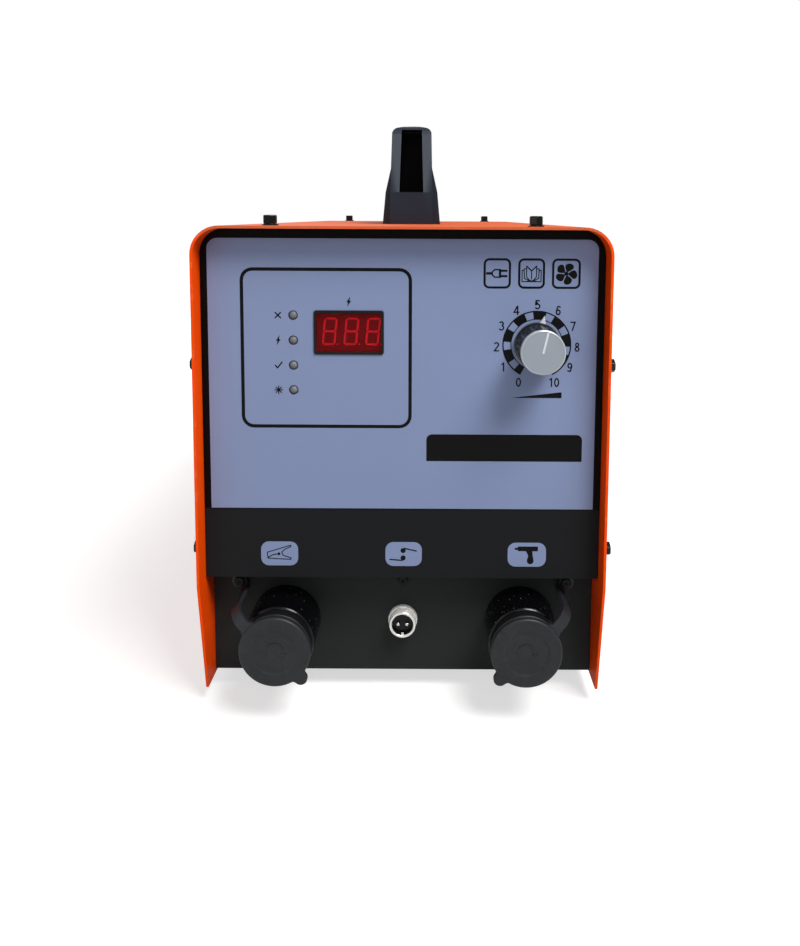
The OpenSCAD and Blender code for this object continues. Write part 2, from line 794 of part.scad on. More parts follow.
module carry_handle() color([0.16, 0.17, 0.19]) translate([handle_x, handle_y, top_z]) difference() {
    intersection() {
        sideways(-handle_w / 2, handle_w) difference() {
            handle_side();
            translate([handle_l / 2, 0]) arch(gap_l, -overrun, gap_h, gap_r);
        }
        union() {
            upright(0, handle_l) crowned(handle_front_w, handle_top_w, handle_h, grip_edge_r, crown_r);
            upright(wing_set, handle_l - 2 * wing_set) polygon([[-handle_w / 2, 0], [handle_w / 2, 0],
                [shoulder_w / 2, shoulder_h], [handle_top_w / 2, wing_h], [-handle_top_w / 2, wing_h],
                [-shoulder_w / 2, shoulder_h]]);
        }
    }
    for (y = [-overrun, handle_l - channel_l]) upright(y, channel_l + overrun) polygon([[-channel_w / 2, block_h],
        [channel_w / 2, block_h], [channel_top_w / 2, handle_h - roof_t], [-channel_top_w / 2, handle_h - roof_t]]);
    for (y = bolt_ys) translate([0, y - handle_y, 0]) {
        translate([0, 0, -overrun]) cylinder(r = bolt_r + hole_gap, h = block_h + 2 * overrun);
        translate([0, 0, block_h - bolt_sink]) cylinder(r = bolt_head_r + bolt_head_gap, h = bolt_sink + overrun);
    }
}

// Two bolts sunk into the handle's feet, with their nuts under the cover
module handle_bolts() color("DimGray") for (y = bolt_ys) translate([handle_x, y, top_z]) {
    translate([0, 0, -sheet_t - bolt_nut_t - bolt_tip]) cylinder(r = bolt_r,
        h = sheet_t + bolt_nut_t + bolt_tip + block_h - bolt_sink + bolt_head_h / 2);
    translate([0, 0, block_h - bolt_sink]) cylinder(r = bolt_head_r, h = bolt_head_h);
    translate([0, 0, -sheet_t - bolt_nut_t]) hex(bolt_nut_af, bolt_nut_t);
}

// Display and indicator lamps

module display_bezel() color("black") upright(bezel_front, display_board_y - bezel_front - fit_gap)
    translate([window_x, window_z]) difference() {
        rounded(window_w - 2 * snug, window_h - 2 * snug, window_r - snug);
        square([window_w - 2 * bezel_wall, window_h - 2 * bezel_wall], center = true);
    }

module display_filter() color([0.5, 0.05, 0.06]) upright(bezel_front + filter_set, filter_t)
    translate([window_x, window_z])
        square([window_w - 2 * bezel_wall - 2 * snug, window_h - 2 * bezel_wall - 2 * snug], center = true);

module display_module() color([0.2, 0.03, 0.03]) upright(bezel_front + filter_set + filter_t,
    display_board_y - bezel_front - filter_set - filter_t) translate([window_x, window_z])
        square([window_w - 2 * bezel_wall - 2 * snug, window_h - 2 * bezel_wall - 2 * snug], center = true);

module display_board() color("DarkGreen") upright(display_board_y, board_t)
    translate([display_board_x, display_board_z]) square([display_board_w, display_board_h], center = true);

module indicator_leds() color([0.7, 0.7, 0.72]) for (z = led_zs) forward(led_x, display_board_y, z) rotate_extrude() {
    body_l = display_board_y - fascia_y + overlay_t + led_proud - led_r;
    square([led_r, body_l]);
    square([led_r + led_flange, led_gap + led_flange]);
    translate([0, body_l]) ring_part(0, led_r, 0, 90);
}

// Dial control

module knob_turned() forward(dial_x, fascia_y, dial_z) rotate([0, 0, -knob_angle]) children();

module pointer_outline(extra) polygon([[-pointer_w / 2 - extra, pointer_root - extra],
    [pointer_w / 2 + extra, pointer_root - extra], [pointer_w / 2 + extra, skirt_r - flute_r],
    [0, pointer_tip + extra], [-pointer_w / 2 - extra, skirt_r - flute_r]]);

module knob_body() color([0.07, 0.07, 0.08]) knob_turned() difference() {
    rotate_extrude() polygon([[pocket_r, knob_back], [skirt_r, knob_back], [skirt_r, knob_back + skirt_t],
        [grip_r, knob_back + skirt_t], [grip_r - grip_draft, cap_seat], [0, cap_seat],
        [0, pocket_end + shaft_l], [shaft_r + running, pocket_end + shaft_l], [shaft_r + running, pocket_end],
        [pocket_r, pocket_end]]);
    for (i = [0 : flute_count - 1]) rotate([0, 0, i * 360 / flute_count])
        translate([grip_r + flute_r / 4, 0, knob_back + skirt_t + flute_lift])
            cylinder(r = flute_r, h = cap_seat - knob_back - skirt_t + overrun, $fn = 24);
    translate([0, 0, knob_back + pointer_lift - snug]) linear_extrude(pointer_t + 2 * snug) pointer_outline(snug);
}

module knob_cap() color("silver") knob_turned() rotate_extrude() polygon([[0, cap_seat],
    [grip_r, cap_seat], [grip_r, knob_reach - knob_cap_bevel], [grip_r - knob_cap_bevel, knob_reach], [0, knob_reach]]);

module knob_pointer() color("white") knob_turned() translate([0, 0, knob_back + pointer_lift])
    linear_extrude(pointer_t) pointer_outline(0);

module pot_shaft() color("silver") forward(dial_x, fascia_y, dial_z) translate([0, 0, -sheet_t - shaft_in_pot])
    cylinder(r = shaft_r, h = sheet_t + shaft_in_pot + pocket_end + shaft_l - running);

module potentiometer() color("DimGray") forward(dial_x, fascia_y, dial_z) difference() {
    union() {
        translate([0, 0, -sheet_t - pot_t]) cylinder(r = pot_r, h = pot_t);
        translate([0, 0, -sheet_t - pot_t / 2]) cylinder(r = bushing_r, h = pot_t / 2 + sheet_t + bushing_l);
    }
    translate([0, 0, -sheet_t - shaft_in_pot - running])
        cylinder(r = shaft_r + running, h = shaft_in_pot + running + sheet_t + bushing_l + overrun);
}

// A hexagon nut on a thread of radius r
module nut(af, t, r) difference() {
    hex(af, t);
    translate([0, 0, -overrun]) cylinder(r = r + running, h = t + 2 * overrun);
}

// The nuts that clamp the dial control, the control socket and the earth stud to their panels
module panel_nuts() color("silver") {
    forward(dial_x, fascia_y - overlay_t, dial_z) nut(pot_nut_af, pot_nut_t, bushing_r);
    forward(0, panel_y + sheet_t + ctrl_nut_t, socket_z) nut(ctrl_nut_af, ctrl_nut_t, ctrl_tail_r);
    backward(earth_x, rear_y - sheet_t - earth_nut_t, earth_z) nut(earth_nut_af, earth_nut_t, earth_r);
}

// Weld sockets

module socket_body(side) color([0.03, 0.03, 0.035]) forward(side * socket_x, panel_y, socket_z)
    rotate_extrude() polygon([[contact_r + running, -tail_l], [tail_r, -tail_l], [tail_r, 0], [barrel_r, 0],
        [barrel_r, barrel_l - nose_chamfer], [barrel_r - nose_chamfer, barrel_l], [nose_r, barrel_l],
        [nose_r, nose_end - nose_chamfer], [nose_r - nose_chamfer, nose_end],
        [contact_r + running + nose_chamfer, nose_end], [contact_r + running, nose_end - nose_chamfer]]);

module left_socket_body() socket_body(-1);
module right_socket_body() socket_body(1);

// The contact is a brass tube with a blind bore in front and a threaded stud behind
module socket_contact(side) color("goldenrod") forward(side * socket_x, panel_y, socket_z) rotate_extrude() polygon([
    [0, -contact_back - bar_t - stud_nut_t - stud_tip], [stud_r, -contact_back - bar_t - stud_nut_t - stud_tip],
    [stud_r, -contact_back], [contact_r, -contact_back], [contact_r, -tail_l - contact_flange_t],
    [contact_flange_r, -tail_l - contact_flange_t], [contact_flange_r, -tail_l], [contact_r, -tail_l],
    [contact_r, nose_end - contact_set], [contact_bore_r, nose_end - contact_set],
    [contact_bore_r, nose_end - contact_set - contact_bore_l], [0, nose_end - contact_set - contact_bore_l]]);

module left_socket_contact() socket_contact(-1);
module right_socket_contact() socket_contact(1);

// A ring nut behind the panel and a hexagon nut on the stud, for each socket
module socket_nuts() color("silver") for (x = [-1, 1]) {
    forward(x * socket_x, panel_y, socket_z) translate([0, 0, -sheet_t - ring_nut_t]) difference() {
        cylinder(r = ring_nut_r, h = ring_nut_t);
        translate([0, 0, -overrun]) cylinder(r = tail_r + running, h = ring_nut_t + 2 * overrun);
    }
    forward(x * socket_x, link_y + bar_t + stud_nut_t, socket_z) nut(stud_nut_af, stud_nut_t, stud_r);
}

// Caps and straps

// Outline drawn with X outward along the strap and Y forward, as wide as the strap
module strap_plane() rotate([0, 0, strap_angle]) rotate([90, 0, 0]) linear_extrude(strap_w, center = true) children();

module socket_cap(side) color([0.2, 0.205, 0.21]) forward(side * socket_x, panel_y, socket_z) handed(side) {
    lug_s = cap_front - lug_drop - lug_t / 2;
    tab_root = sqrt(pow(cap_r + tab_fillet - tab_sink, 2) - pow(tab_w / 2 + tab_fillet, 2));
    rotate_extrude() polygon([[0, cap_back], [nose_r + cap_clear, cap_back], [nose_r + cap_clear, cap_skirt_back],
        [cap_r - cap_edge, cap_skirt_back], [cap_r - cap_edge, cap_front - tab_t - 2 * cap_groove],
        [cap_r - cap_edge - cap_groove, cap_front - tab_t - cap_groove], [cap_r, cap_front - tab_t],
        [cap_r, cap_front - cap_edge], [cap_r - cap_edge, cap_front], [cap_r * cap_recess_share, cap_front],
        [cap_r * cap_recess_share - cap_recess, cap_front - cap_recess], [0, cap_front - cap_recess]]);
    // Pull tab across from the strap, blended into the rim
    rotate([0, 0, strap_angle + 180]) translate([0, 0, cap_front - tab_t + cap_edge / 2])
        linear_extrude(tab_t - cap_edge) {
        translate([cap_r / 2, -tab_w / 2]) square([cap_r / 2 + tab_reach - tab_w / 2, tab_w]);
        translate([cap_r + tab_reach - tab_w / 2, 0]) circle(tab_w / 2);
        difference() {
            translate([cap_r / 2, -tab_w / 2 - tab_fillet]) square([tab_root - cap_r / 2, tab_w + 2 * tab_fillet]);
            for (y = [-1, 1]) translate([tab_root, y * (tab_w / 2 + tab_fillet)]) circle(tab_fillet);
        }
    }
    // Root of the strap, from the rim out and round to the bending line
    strap_plane() {
        translate([cap_r - cap_wall, lug_s - lug_t / 2])
            square([hinge_r - lug_bend_r - cap_r + cap_wall, lug_t]);
        translate([hinge_r - lug_bend_r, lug_s - lug_bend_r])
            ring_part(lug_bend_r - lug_t / 2, lug_bend_r + lug_t / 2, 0, 90);
        translate([hinge_r - lug_t / 2, hinge_s + hinge_pin_r + hinge_gap])
            square([lug_t, lug_s - lug_bend_r - hinge_s - hinge_pin_r - hinge_gap]);
    }
}

module left_cap() socket_cap(-1);
module right_cap() socket_cap(1);

module cap_strap(side) color([0.2, 0.205, 0.21]) forward(side * socket_x, panel_y, socket_z) handed(side) difference() {
    union() {
        strap_plane() {
            translate([hinge_r, hinge_s]) circle(hinge_pin_r);
            translate([hinge_r - strap_t / 2, strap_t / 2 + strap_bend_r])
                square([strap_t, hinge_s - strap_t / 2 - strap_bend_r]);
            translate([hinge_r + strap_bend_r, strap_t / 2 + strap_bend_r])
                ring_part(strap_bend_r - strap_t / 2, strap_bend_r + strap_t / 2, 180, 270);
            translate([hinge_r + strap_bend_r, 0]) square([anchor_r - hinge_r - strap_bend_r, strap_t]);
        }
        rotate([0, 0, strap_angle]) translate([anchor_r, 0, 0]) cylinder(r = eyelet_r, h = strap_t);
    }
    rotate([0, 0, strap_angle]) translate([anchor_r, 0, -overrun])
        cylinder(r = strap_screw_r + hole_gap, h = strap_t + 2 * overrun);
}

module left_cap_strap() cap_strap(-1);
module right_cap_strap() cap_strap(1);

// Control socket

module control_socket_shell() color("silver") forward(0, panel_y, socket_z) {
    rotate_extrude() polygon([[ctrl_in_r, -ctrl_tail_l], [ctrl_tail_r, -ctrl_tail_l], [ctrl_tail_r, 0],
        [ctrl_flange_r, 0], [ctrl_flange_r, ctrl_flange_t], [ctrl_r, ctrl_flange_t],
        [ctrl_r, ctrl_flange_t + ctrl_l], [ctrl_in_r, ctrl_flange_t + ctrl_l]]);
    translate([-ctrl_key_w / 2, -ctrl_in_r - ctrl_wall / 2, ctrl_flange_t + ctrl_l - ctrl_set])
        cube([ctrl_key_w, ctrl_wall / 2 + ctrl_key_h, ctrl_set]);
}

module control_socket_insert() color("black") forward(0, panel_y, socket_z) difference() {
    translate([0, 0, -ctrl_tail_l - ctrl_pin_out])
        cylinder(r = ctrl_in_r - running, h = ctrl_tail_l + ctrl_pin_out + ctrl_flange_t + ctrl_l - ctrl_set);
    for (x = [-1, 1]) translate([x * ctrl_pin_x, 0, -ctrl_tail_l - ctrl_pin_out - overrun])
        cylinder(r = ctrl_pin_r + running, h = ctrl_tail_l + ctrl_pin_out + ctrl_flange_t + ctrl_l + overrun);
}

module control_socket_pins() color("gold") forward(0, panel_y, socket_z) for (x = [-1, 1])
    translate([x * ctrl_pin_x, 0, -ctrl_tail_l - ctrl_pin_out - ctrl_pin_tail])
        cylinder(r = ctrl_pin_r, h = ctrl_tail_l + ctrl_pin_out + ctrl_pin_tail + ctrl_flange_t + ctrl_l - ctrl_set
            + ctrl_pin_out);

// Fan

// Children about the fan's axis, with +Z pointing back from the rear panel's inner face
module at_fan() backward(0, rear_y - sheet_t, fan_z) children();

module fan_corners() for (x = [-1, 1], y = [-1, 1]) translate([x, y, 0] * fan_hole_pitch / 2) children();

module fan_frame() color([0.09, 0.09, 0.1]) at_fan() difference() {
    union() {
        translate([0, 0, -fan_t]) linear_extrude(fan_t) difference() {
            rounded(fan_size, fan_size, fan_corner_r);
            circle(fan_bore_r);
        }
        translate([0, 0, -fan_t]) {
            cylinder(r = fan_hub_r, h = fan_strut_t);
            for (a = [45 : 90 : 315]) rotate([0, 0, a]) translate([0, -fan_strut_w / 2, 0])
                cube([fan_bore_r + fan_wall, fan_strut_w, fan_strut_t]);
        }
    }
    translate([0, 0, -fan_t - overrun]) cylinder(r = fan_shaft_r + running, h = fan_strut_t + 2 * overrun);
    fan_corners() translate([0, 0, -fan_t - overrun])
        cylinder(r = machine_screw_r + hole_gap, h = fan_t + 2 * overrun);
}

// One cambered blade: a slice of a thin tube that runs out from the hub
module blade() {
    mid = -fan_t / 2 + fan_strut_t / 2;
    translate([0, 0, mid]) rotate([0, 90, 0]) linear_extrude(fan_bore_r)
        rotate([0, 0, blade_angle]) translate([-blade_curve_r, 0]) ring_part(blade_curve_r - blade_t / 2,
            blade_curve_r + blade_t / 2, -blade_chord_angle / 2, blade_chord_angle / 2);
}

module fan_rotor() color([0.12, 0.12, 0.13]) at_fan() {
    hub_back = -fan_t + fan_strut_t + fan_hub_gap;
    translate([0, 0, hub_back]) cylinder(r = fan_hub_r, h = -hub_back - blade_set);
    translate([0, 0, -fan_t]) cylinder(r = fan_shaft_r, h = hub_back + fan_t + fan_strut_t);
    intersection() {
        translate([0, 0, hub_back]) cylinder(r = fan_bore_r - fan_tip_gap, h = -hub_back - blade_set);
        for (i = [0 : blade_count - 1]) rotate([0, 0, i * 360 / blade_count]) blade();
    }
}

// A flat guard: welded rings over four crossing wires that end in eyes under the screws
module fan_guard() color("silver") backward(0, rear_y, fan_z) difference() {
    union() {
        ring_step = (fan_bore_r - guard_hub_r) / (guard_rings - 1);
        for (i = [0 : guard_rings - 1]) translate([0, 0, 2 * guard_wire_r]) rotate_extrude()
            translate([guard_hub_r + i * ring_step, 0]) circle(guard_wire_r, $fn = 24);
        for (a = [45, 135]) rotate([0, 0, a]) translate([0, 0, guard_wire_r]) rotate([0, 90, 0])
            cylinder(r = guard_wire_r, h = fan_hole_pitch * sqrt(2), center = true, $fn = 24);
        fan_corners() cylinder(r = guard_eye_r, h = 2 * guard_wire_r);
    }
    fan_corners() translate([0, 0, -overrun]) cylinder(r = machine_screw_r + hole_gap, h = 2 * guard_wire_r + 2 * overrun);
}

// Mains switch

module switch_housing() color("black") backward(switch_x, rear_y, switch_z) difference() {
    union() {
        linear_extrude(switch_flange_t) rounded(switch_w, switch_h, switch_corner_r);
        translate([-switch_body_w / 2, -switch_body_h / 2, -switch_body_l])
            cube([switch_body_w, switch_body_h, switch_body_l]);
    }
    translate([-rocker_w / 2 - rocker_gap / 2, -rocker_r - rocker_gap, -rocker_r - rocker_gap])
        cube([rocker_w + rocker_gap, 2 * (rocker_r + rocker_gap), rocker_r + rocker_gap + switch_flange_t + overrun]);
    translate([0, 0, rocker_pivot]) rotate([0, 90, 0])
        cylinder(r = rocker_pin_r + running, h = rocker_w + rocker_gap + 2 * rocker_pin_l, center = true);
}

// The rocker rests tipped to its off side
module power_rocker() color([0.75, 0.05, 0.05]) backward(switch_x, rear_y, switch_z)
    translate([0, 0, rocker_pivot]) rotate([rocker_tilt, 0, 0]) {
        sideways(-rocker_w / 2, rocker_w) {
            intersection() {
                circle(rocker_r);
                translate([-rocker_r, -rocker_r]) square([2 * rocker_r, rocker_r]);
            }
            polygon([[-rocker_r, 0], [rocker_r, 0], [rocker_r, rocker_rise], [0, rocker_rise - rocker_dish],
                [-rocker_r, rocker_rise]]);
        }
        rotate([0, 90, 0]) cylinder(r = rocker_pin_r, h = rocker_w + 2 * rocker_pin_l, center = true);
    }

// Cable gland and earth stud

module gland_body() color([0.13, 0.13, 0.14]) backward(gland_x, rear_y, gland_z) difference() {
    union() {
        translate([0, 0, -gland_thread_l]) cylinder(r = gland_thread_r, h = gland_thread_l + gland_hex_t / 2);
        hex(gland_hex_af, gland_hex_t);
    }
    translate([0, 0, -gland_thread_l - overrun])
        cylinder(r = gland_bore_r, h = gland_thread_l + gland_hex_t + 2 * overrun);
}

module gland_cap() color([0.13, 0.13, 0.14]) backward(gland_x, rear_y, gland_z) rotate_extrude() polygon([
    [gland_bore_r, gland_hex_t], [gland_cap_r, gland_hex_t], [gland_cap_r, gland_reach - 2 * gland_wall],
    [gland_cap_end_r, gland_reach], [gland_bore_r, gland_reach]]);

module gland_nut() color([0.13, 0.13, 0.14]) backward(gland_x, rear_y - sheet_t - gland_nut_t, gland_z)
    nut(gland_nut_af, gland_nut_t, gland_thread_r);

// A stud with a hexagon collar outside the rear panel, clamped by a nut inside
module earth_terminal() color("silver") backward(earth_x, rear_y, earth_z) {
    hex(earth_nut_af, earth_collar_t);
    translate([0, 0, -sheet_t - earth_nut_t - earth_tip])
        cylinder(r = earth_r, h = sheet_t + earth_nut_t + earth_tip + earth_l);
}

// Capacitor bank and bars

module at_cans() for (x = [-1, 1], y = row_ys) translate([bank_x + x * col_x, y, floor_z]) children();

// Children at each can's two posts, on the can's top
module at_posts() at_cans() for (x = [-1, 1]) translate([x * post_x, 0, can_h]) children();

module capacitor_cans() color([0.15, 0.2, 0.45]) at_cans() rotate_extrude() polygon([[0, 0], [can_r, 0],
    [can_r, can_h], [can_r - can_rim, can_h], [can_r - can_rim, can_h - can_rim_h], [0, can_h - can_rim_h]]);

module capacitor_posts() color("silver") at_posts() difference() {
    translate([0, 0, -can_rim_h]) cylinder(r = post_r, h = post_h + can_rim_h);
    translate([0, 0, -can_rim_h / 2]) cylinder(r = bus_screw_r + running, h = post_h + can_rim_h);
}

// Children in each gap between two rows, at both sides of the bank
module at_bank_posts() for (x = [-1, 1], i = [1 : can_rows - 1])
    translate([bank_x + x * bank_post_x, bank_y + (i - 1) * row_pitch + row_pitch / 2, 0]) children();

module capacitor_clamp() color("LightGray") difference() {
    translate([bank_x - clamp_half, bank_y - can_r - clamp_edge, clamp_z])
        cube([2 * clamp_half, bank_end - bank_y + 2 * can_r + 2 * clamp_edge, sheet_t]);
    at_cans() translate([0, 0, -overrun]) cylinder(r = can_r + snug, h = can_h);
}

// Posts under the clamp, posts on it that carry the control board, and spacers behind the fascia
module board_spacers() color("silver") {
    at_bank_posts() {
        translate([0, 0, floor_z]) cylinder(r = bank_post_r, h = clamp_z - floor_z);
        translate([0, 0, clamp_z + sheet_t]) cylinder(r = bank_post_r, h = board_z - clamp_z - sheet_t);
    }
    for (x = [-1, 1], z = [-1, 1]) forward(display_board_x + x * (display_board_w / 2 - spacer_edge),
        display_board_y, display_board_z + z * (display_board_h / 2 - spacer_edge))
            cylinder(r = spacer_r, h = spacer_l);
}

module bus_holes() at_posts() translate([0, 0, post_h - overrun])
    cylinder(r = bus_screw_r + hole_gap, h = bar_t + 2 * overrun);

// A flat strap down to a weld socket: from x0 with width w at the bars to the stud
module drop_link(x0, w, x1) difference() {
    upright(link_y, bar_t) polygon([[x0, bus_z + bar_t], [x0 + w, bus_z + bar_t], [x0 + w, bus_z - drop_start],
        [x1 + drop_end, socket_z + drop_end], [x1 + drop_end, socket_z - drop_end],
        [x1 - drop_end, socket_z - drop_end], [x1 - drop_end, socket_z + drop_end], [x0, bus_z - drop_start]]);
    forward(x1, link_y, socket_z) translate([0, 0, -bar_t - overrun])
        cylinder(r = stud_r + hole_gap, h = bar_t + 2 * overrun);
}

module negative_bus() color("chocolate") {
    difference() {
        translate([bank_x - bus_half, link_y, bus_z]) cube([2 * bus_half, bank_end + bar_w / 2 - link_y, bar_t]);
        bus_holes();
    }
    drop_link(bank_x - bus_half, link_w, -socket_x);
}

module positive_bus() color("chocolate") difference() {
    union() {
        for (x = [-1, 1]) translate([bank_x + x * (col_x + post_x) - bar_w / 2, bank_y - bar_w / 2, bus_z])
            cube([bar_w, bank_end - bank_y + 2 * bar_w, bar_t]);
        translate([bank_x - col_x - post_x, bank_end + bar_w / 2 + bank_gap, bus_z])
            cube([2 * (col_x + post_x), bar_w - bank_gap, bar_t]);
        translate([bank_x + col_x + post_x, bank_mid - bar_w / 2, bus_z])
            cube([sink_x + bar_w / 2 - bank_x - col_x - post_x, bar_w, bar_t]);
    }
    bus_holes();
    at_module_posts() cylinder(r = bus_screw_r + hole_gap, h = bar_t + overrun);
}

// Children on the two posts of the thyristor module that carry bars
module at_module_posts() for (i = [-1, 0]) translate([sink_x, bank_mid + i * module_pitch, bus_z]) {
    translate([0, 0, -overrun / 2]) children();
}

module gun_link() color("chocolate") {
    difference() {
        translate([sink_x - bar_w / 2, link_y, bus_z])
            cube([bar_w, bank_mid - module_pitch + bar_w / 2 - link_y, bar_t]);
        at_module_posts() cylinder(r = bus_screw_r + hole_gap, h = bar_t + overrun);
    }
    drop_link(sink_x - bar_w / 2, bar_w, socket_x);
}

module bus_screws() color("silver") {
    at_posts() translate([0, 0, post_h + bar_t]) bus_screw();
    for (i = [-1, 0]) translate([sink_x, bank_mid + i * module_pitch, bus_z + bar_t]) bus_screw();
}

module bus_screw() {
    translate([0, 0, -bar_t - post_h / 3]) cylinder(r = bus_screw_r, h = bar_t + post_h / 3 + bus_screw_h / 2);
    hex(bus_screw_af, bus_screw_h);
}

// Heat sink with fins that run front to back
module heat_sink() color("silver") translate([sink_x - sink_w / 2, sink_y, floor_z]) {
    fin_step = (sink_w - sink_fin_t) / (sink_fins - 1);
    translate([0, 0, sink_h - sink_top_t]) cube([sink_w, sink_l, sink_top_t]);
    for (i = [0 : sink_fins - 1]) translate([i * fin_step, 0, 0]) cube([sink_fin_t, sink_l, sink_h - sink_top_t / 2]);
}

// Switching module on the heat sink, with three posts in a row
module thyristor() color([0.1, 0.1, 0.1]) translate([sink_x, bank_mid, floor_z + sink_h]) difference() {
    union() {
        translate([-module_w / 2, -module_l / 2, 0]) cube([module_w, module_l, module_h]);
        for (i = [-1 : 1]) translate([0, i * module_pitch, 0])
            cylinder(r = module_post_r, h = module_h + module_post_h);
    }
    for (i = [-1 : 1]) translate([0, i * module_pitch, module_h])
        cylinder(r = bus_screw_r + running, h = module_post_h + overrun);
}

module rectifier() color([0.08, 0.08, 0.08]) translate([sink_x - rectifier_w / 2,
    sink_y + sink_l - rectifier_w - sink_fin_t, floor_z + sink_h]) cube([rectifier_w, rectifier_w, rectifier_h]);

// Stacked core with two windows, standing on ears
module transformer_core() color([0.35, 0.33, 0.32]) {
    window = (core_w - 4 * core_yoke) / 2;
    upright(trafo_y - core_l / 2, core_l) difference() {
        translate([-core_w / 2, floor_z]) square([core_w, core_h]);
        for (x = [-1, 1]) translate([x * (core_yoke + window / 2), floor_z + core_h / 2])
            square([window, core_h - 2 * core_yoke], center = true);
    }
    for (x = [-1, 1]) translate([x * (core_w + core_ear) / 2 - core_ear, trafo_y - core_l / 2, floor_z])
        cube([2 * core_ear, core_l, core_ear_t]);
}

// Winding round the core's middle leg
module transformer_coil() color([0.75, 0.55, 0.2]) {
    window = (core_w - 4 * core_yoke) / 2;
    translate([0, trafo_y, floor_z + core_yoke + coil_gap]) linear_extrude(core_h - 2 * core_yoke - 2 * coil_gap)
        difference() {
            rounded(2 * (core_yoke + window - coil_gap), core_l + 2 * (coil_gap + coil_wall), coil_r);
            square([2 * (core_yoke + coil_gap), core_l + 2 * coil_gap], center = true);
        }
}

module control_board() color("DarkGreen") translate([bank_x, bank_mid, board_z]) {
    translate([-board_w / 2, -board_l / 2, 0]) cube([board_w, board_l, board_t]);
    for (p = board_part_shares) translate([(p[0] - p[2] / 2) * board_w, (p[1] - p[3] / 2) * board_l, board_t / 2])
        cube([p[2] * board_w, p[3] * board_l, board_t / 2 + p[4] * board_part_h]);
}

top_cover();
base_tray();
front_fascia();
connector_panel();
rear_panel();
panel_overlay();
carry_handle();
handle_bolts();
cover_screws();
panel_screws();
machine_screws();
rubber_feet();
foot_screws();
display_bezel();
display_filter();
display_module();
display_board();
indicator_leds();
knob_body();
knob_cap();
knob_pointer();
pot_shaft();
potentiometer();
panel_nuts();
left_socket_body();
right_socket_body();
left_socket_contact();
right_socket_contact();
socket_nuts();
left_cap();
right_cap();
left_cap_strap();
right_cap_strap();
control_socket_shell();
control_socket_insert();
control_socket_pins();
fan_frame();
fan_rotor();
fan_guard();
switch_housing();
power_rocker();
gland_body();
gland_cap();
gland_nut();
earth_terminal();
capacitor_cans();
capacitor_posts();
capacitor_clamp();
board_spacers();
negative_bus();
positive_bus();
gun_link();
bus_screws();
heat_sink();
thyristor();
rectifier();
transformer_core();
transformer_coil();
control_board();
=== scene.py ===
# %% [markdown]
# # Dressing a stud welder
# The solids of this machine are already built. They load as a fixed frame, and this
# lesson gives them their looks: rounded edges, printed signs, soft caps on straps, threads and finishes.
# Nothing here moves a solid. A new piece rides on the body that carries it, so it follows every joint.

# %% Load the fixed frame
import math

import bpy
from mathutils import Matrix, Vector


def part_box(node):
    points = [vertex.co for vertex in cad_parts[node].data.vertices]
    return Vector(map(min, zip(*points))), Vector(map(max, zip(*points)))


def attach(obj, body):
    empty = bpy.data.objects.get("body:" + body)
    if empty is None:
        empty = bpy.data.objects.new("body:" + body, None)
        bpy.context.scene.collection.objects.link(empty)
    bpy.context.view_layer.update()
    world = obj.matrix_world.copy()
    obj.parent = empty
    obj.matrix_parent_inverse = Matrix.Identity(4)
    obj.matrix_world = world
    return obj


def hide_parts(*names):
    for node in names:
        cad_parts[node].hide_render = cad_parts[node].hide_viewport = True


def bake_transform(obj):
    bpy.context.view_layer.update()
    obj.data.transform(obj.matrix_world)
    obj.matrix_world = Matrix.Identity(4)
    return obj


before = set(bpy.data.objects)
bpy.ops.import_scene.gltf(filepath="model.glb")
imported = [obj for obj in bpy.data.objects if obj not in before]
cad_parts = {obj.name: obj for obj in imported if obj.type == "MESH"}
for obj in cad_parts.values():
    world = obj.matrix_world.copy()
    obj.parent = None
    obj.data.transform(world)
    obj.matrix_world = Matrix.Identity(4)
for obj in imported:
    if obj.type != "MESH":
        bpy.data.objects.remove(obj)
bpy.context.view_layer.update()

MM = 0.001
cover_low, cover_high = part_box("top_cover")
overlay_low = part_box("panel_overlay")[0]
hood_top, hood_front = cover_high.z, cover_low.y
print("case", [round(side / MM, 1) for side in cover_high - cover_low], "mm")

# %% [markdown]
# ## The camera
# The photograph was taken from close by, a little right of the middle and level with the hood, so the
# top is a thin strip and the sides taper. The lens and the shift follow from matching the case's edges.
# The shift only moves the picture up in its frame, as the photograph does.

# %% Place the camera
PHOTO_W, PHOTO_H, SENSOR = 800, 946, 36
FOCAL_PX, AXIS_X, AXIS_Y = 722.3, 430.6, 277.0
EYE_RIGHT, EYE_AHEAD, EYE_ABOVE, NEAREST = 15.6, 390.0, 5.5, 10.0
LOOK_DOWN, LEAN = math.radians(4.8), math.radians(0.31)
bpy.ops.object.camera_add(location=(EYE_RIGHT * MM, hood_front - EYE_AHEAD * MM, hood_top + EYE_ABOVE * MM))
camera = bpy.context.object
camera.rotation_mode = "ZYX"
camera.rotation_euler = (math.pi / 2 - LOOK_DOWN, 0, LEAN)
lens = camera.data
lens.sensor_width = SENSOR
lens.lens = FOCAL_PX * SENSOR / PHOTO_H
lens.shift_x = (PHOTO_W / 2 - AXIS_X) / PHOTO_H
lens.shift_y = (AXIS_Y - PHOTO_H / 2) / PHOTO_H
lens.clip_start = NEAREST * MM
bpy.context.scene.camera = camera
bpy.context.scene.view_settings.view_transform = "Standard"
print("lens", round(lens.lens, 2), "shift", round(lens.shift_x, 4), round(lens.shift_y, 4))

# %% [markdown]
# ## Shader maths in plain Python
# A finish is a small graph of nodes. Writing each node and link by hand is long, so one class wraps a
# socket: its signs add Math nodes, its first method adds any other node with settings and sockets, and
# the rest are short names for the nodes that come up most.


# %% Wrap a socket
def sign(operation, swapped=False):
    """A method that adds a Math node for a sign."""
    def method(self, other=0.0):
        first, second = (other, self) if swapped else (self, other)
        return self.node("ShaderNodeMath", {"operation": operation}, {0: first, 1: second})
    return method


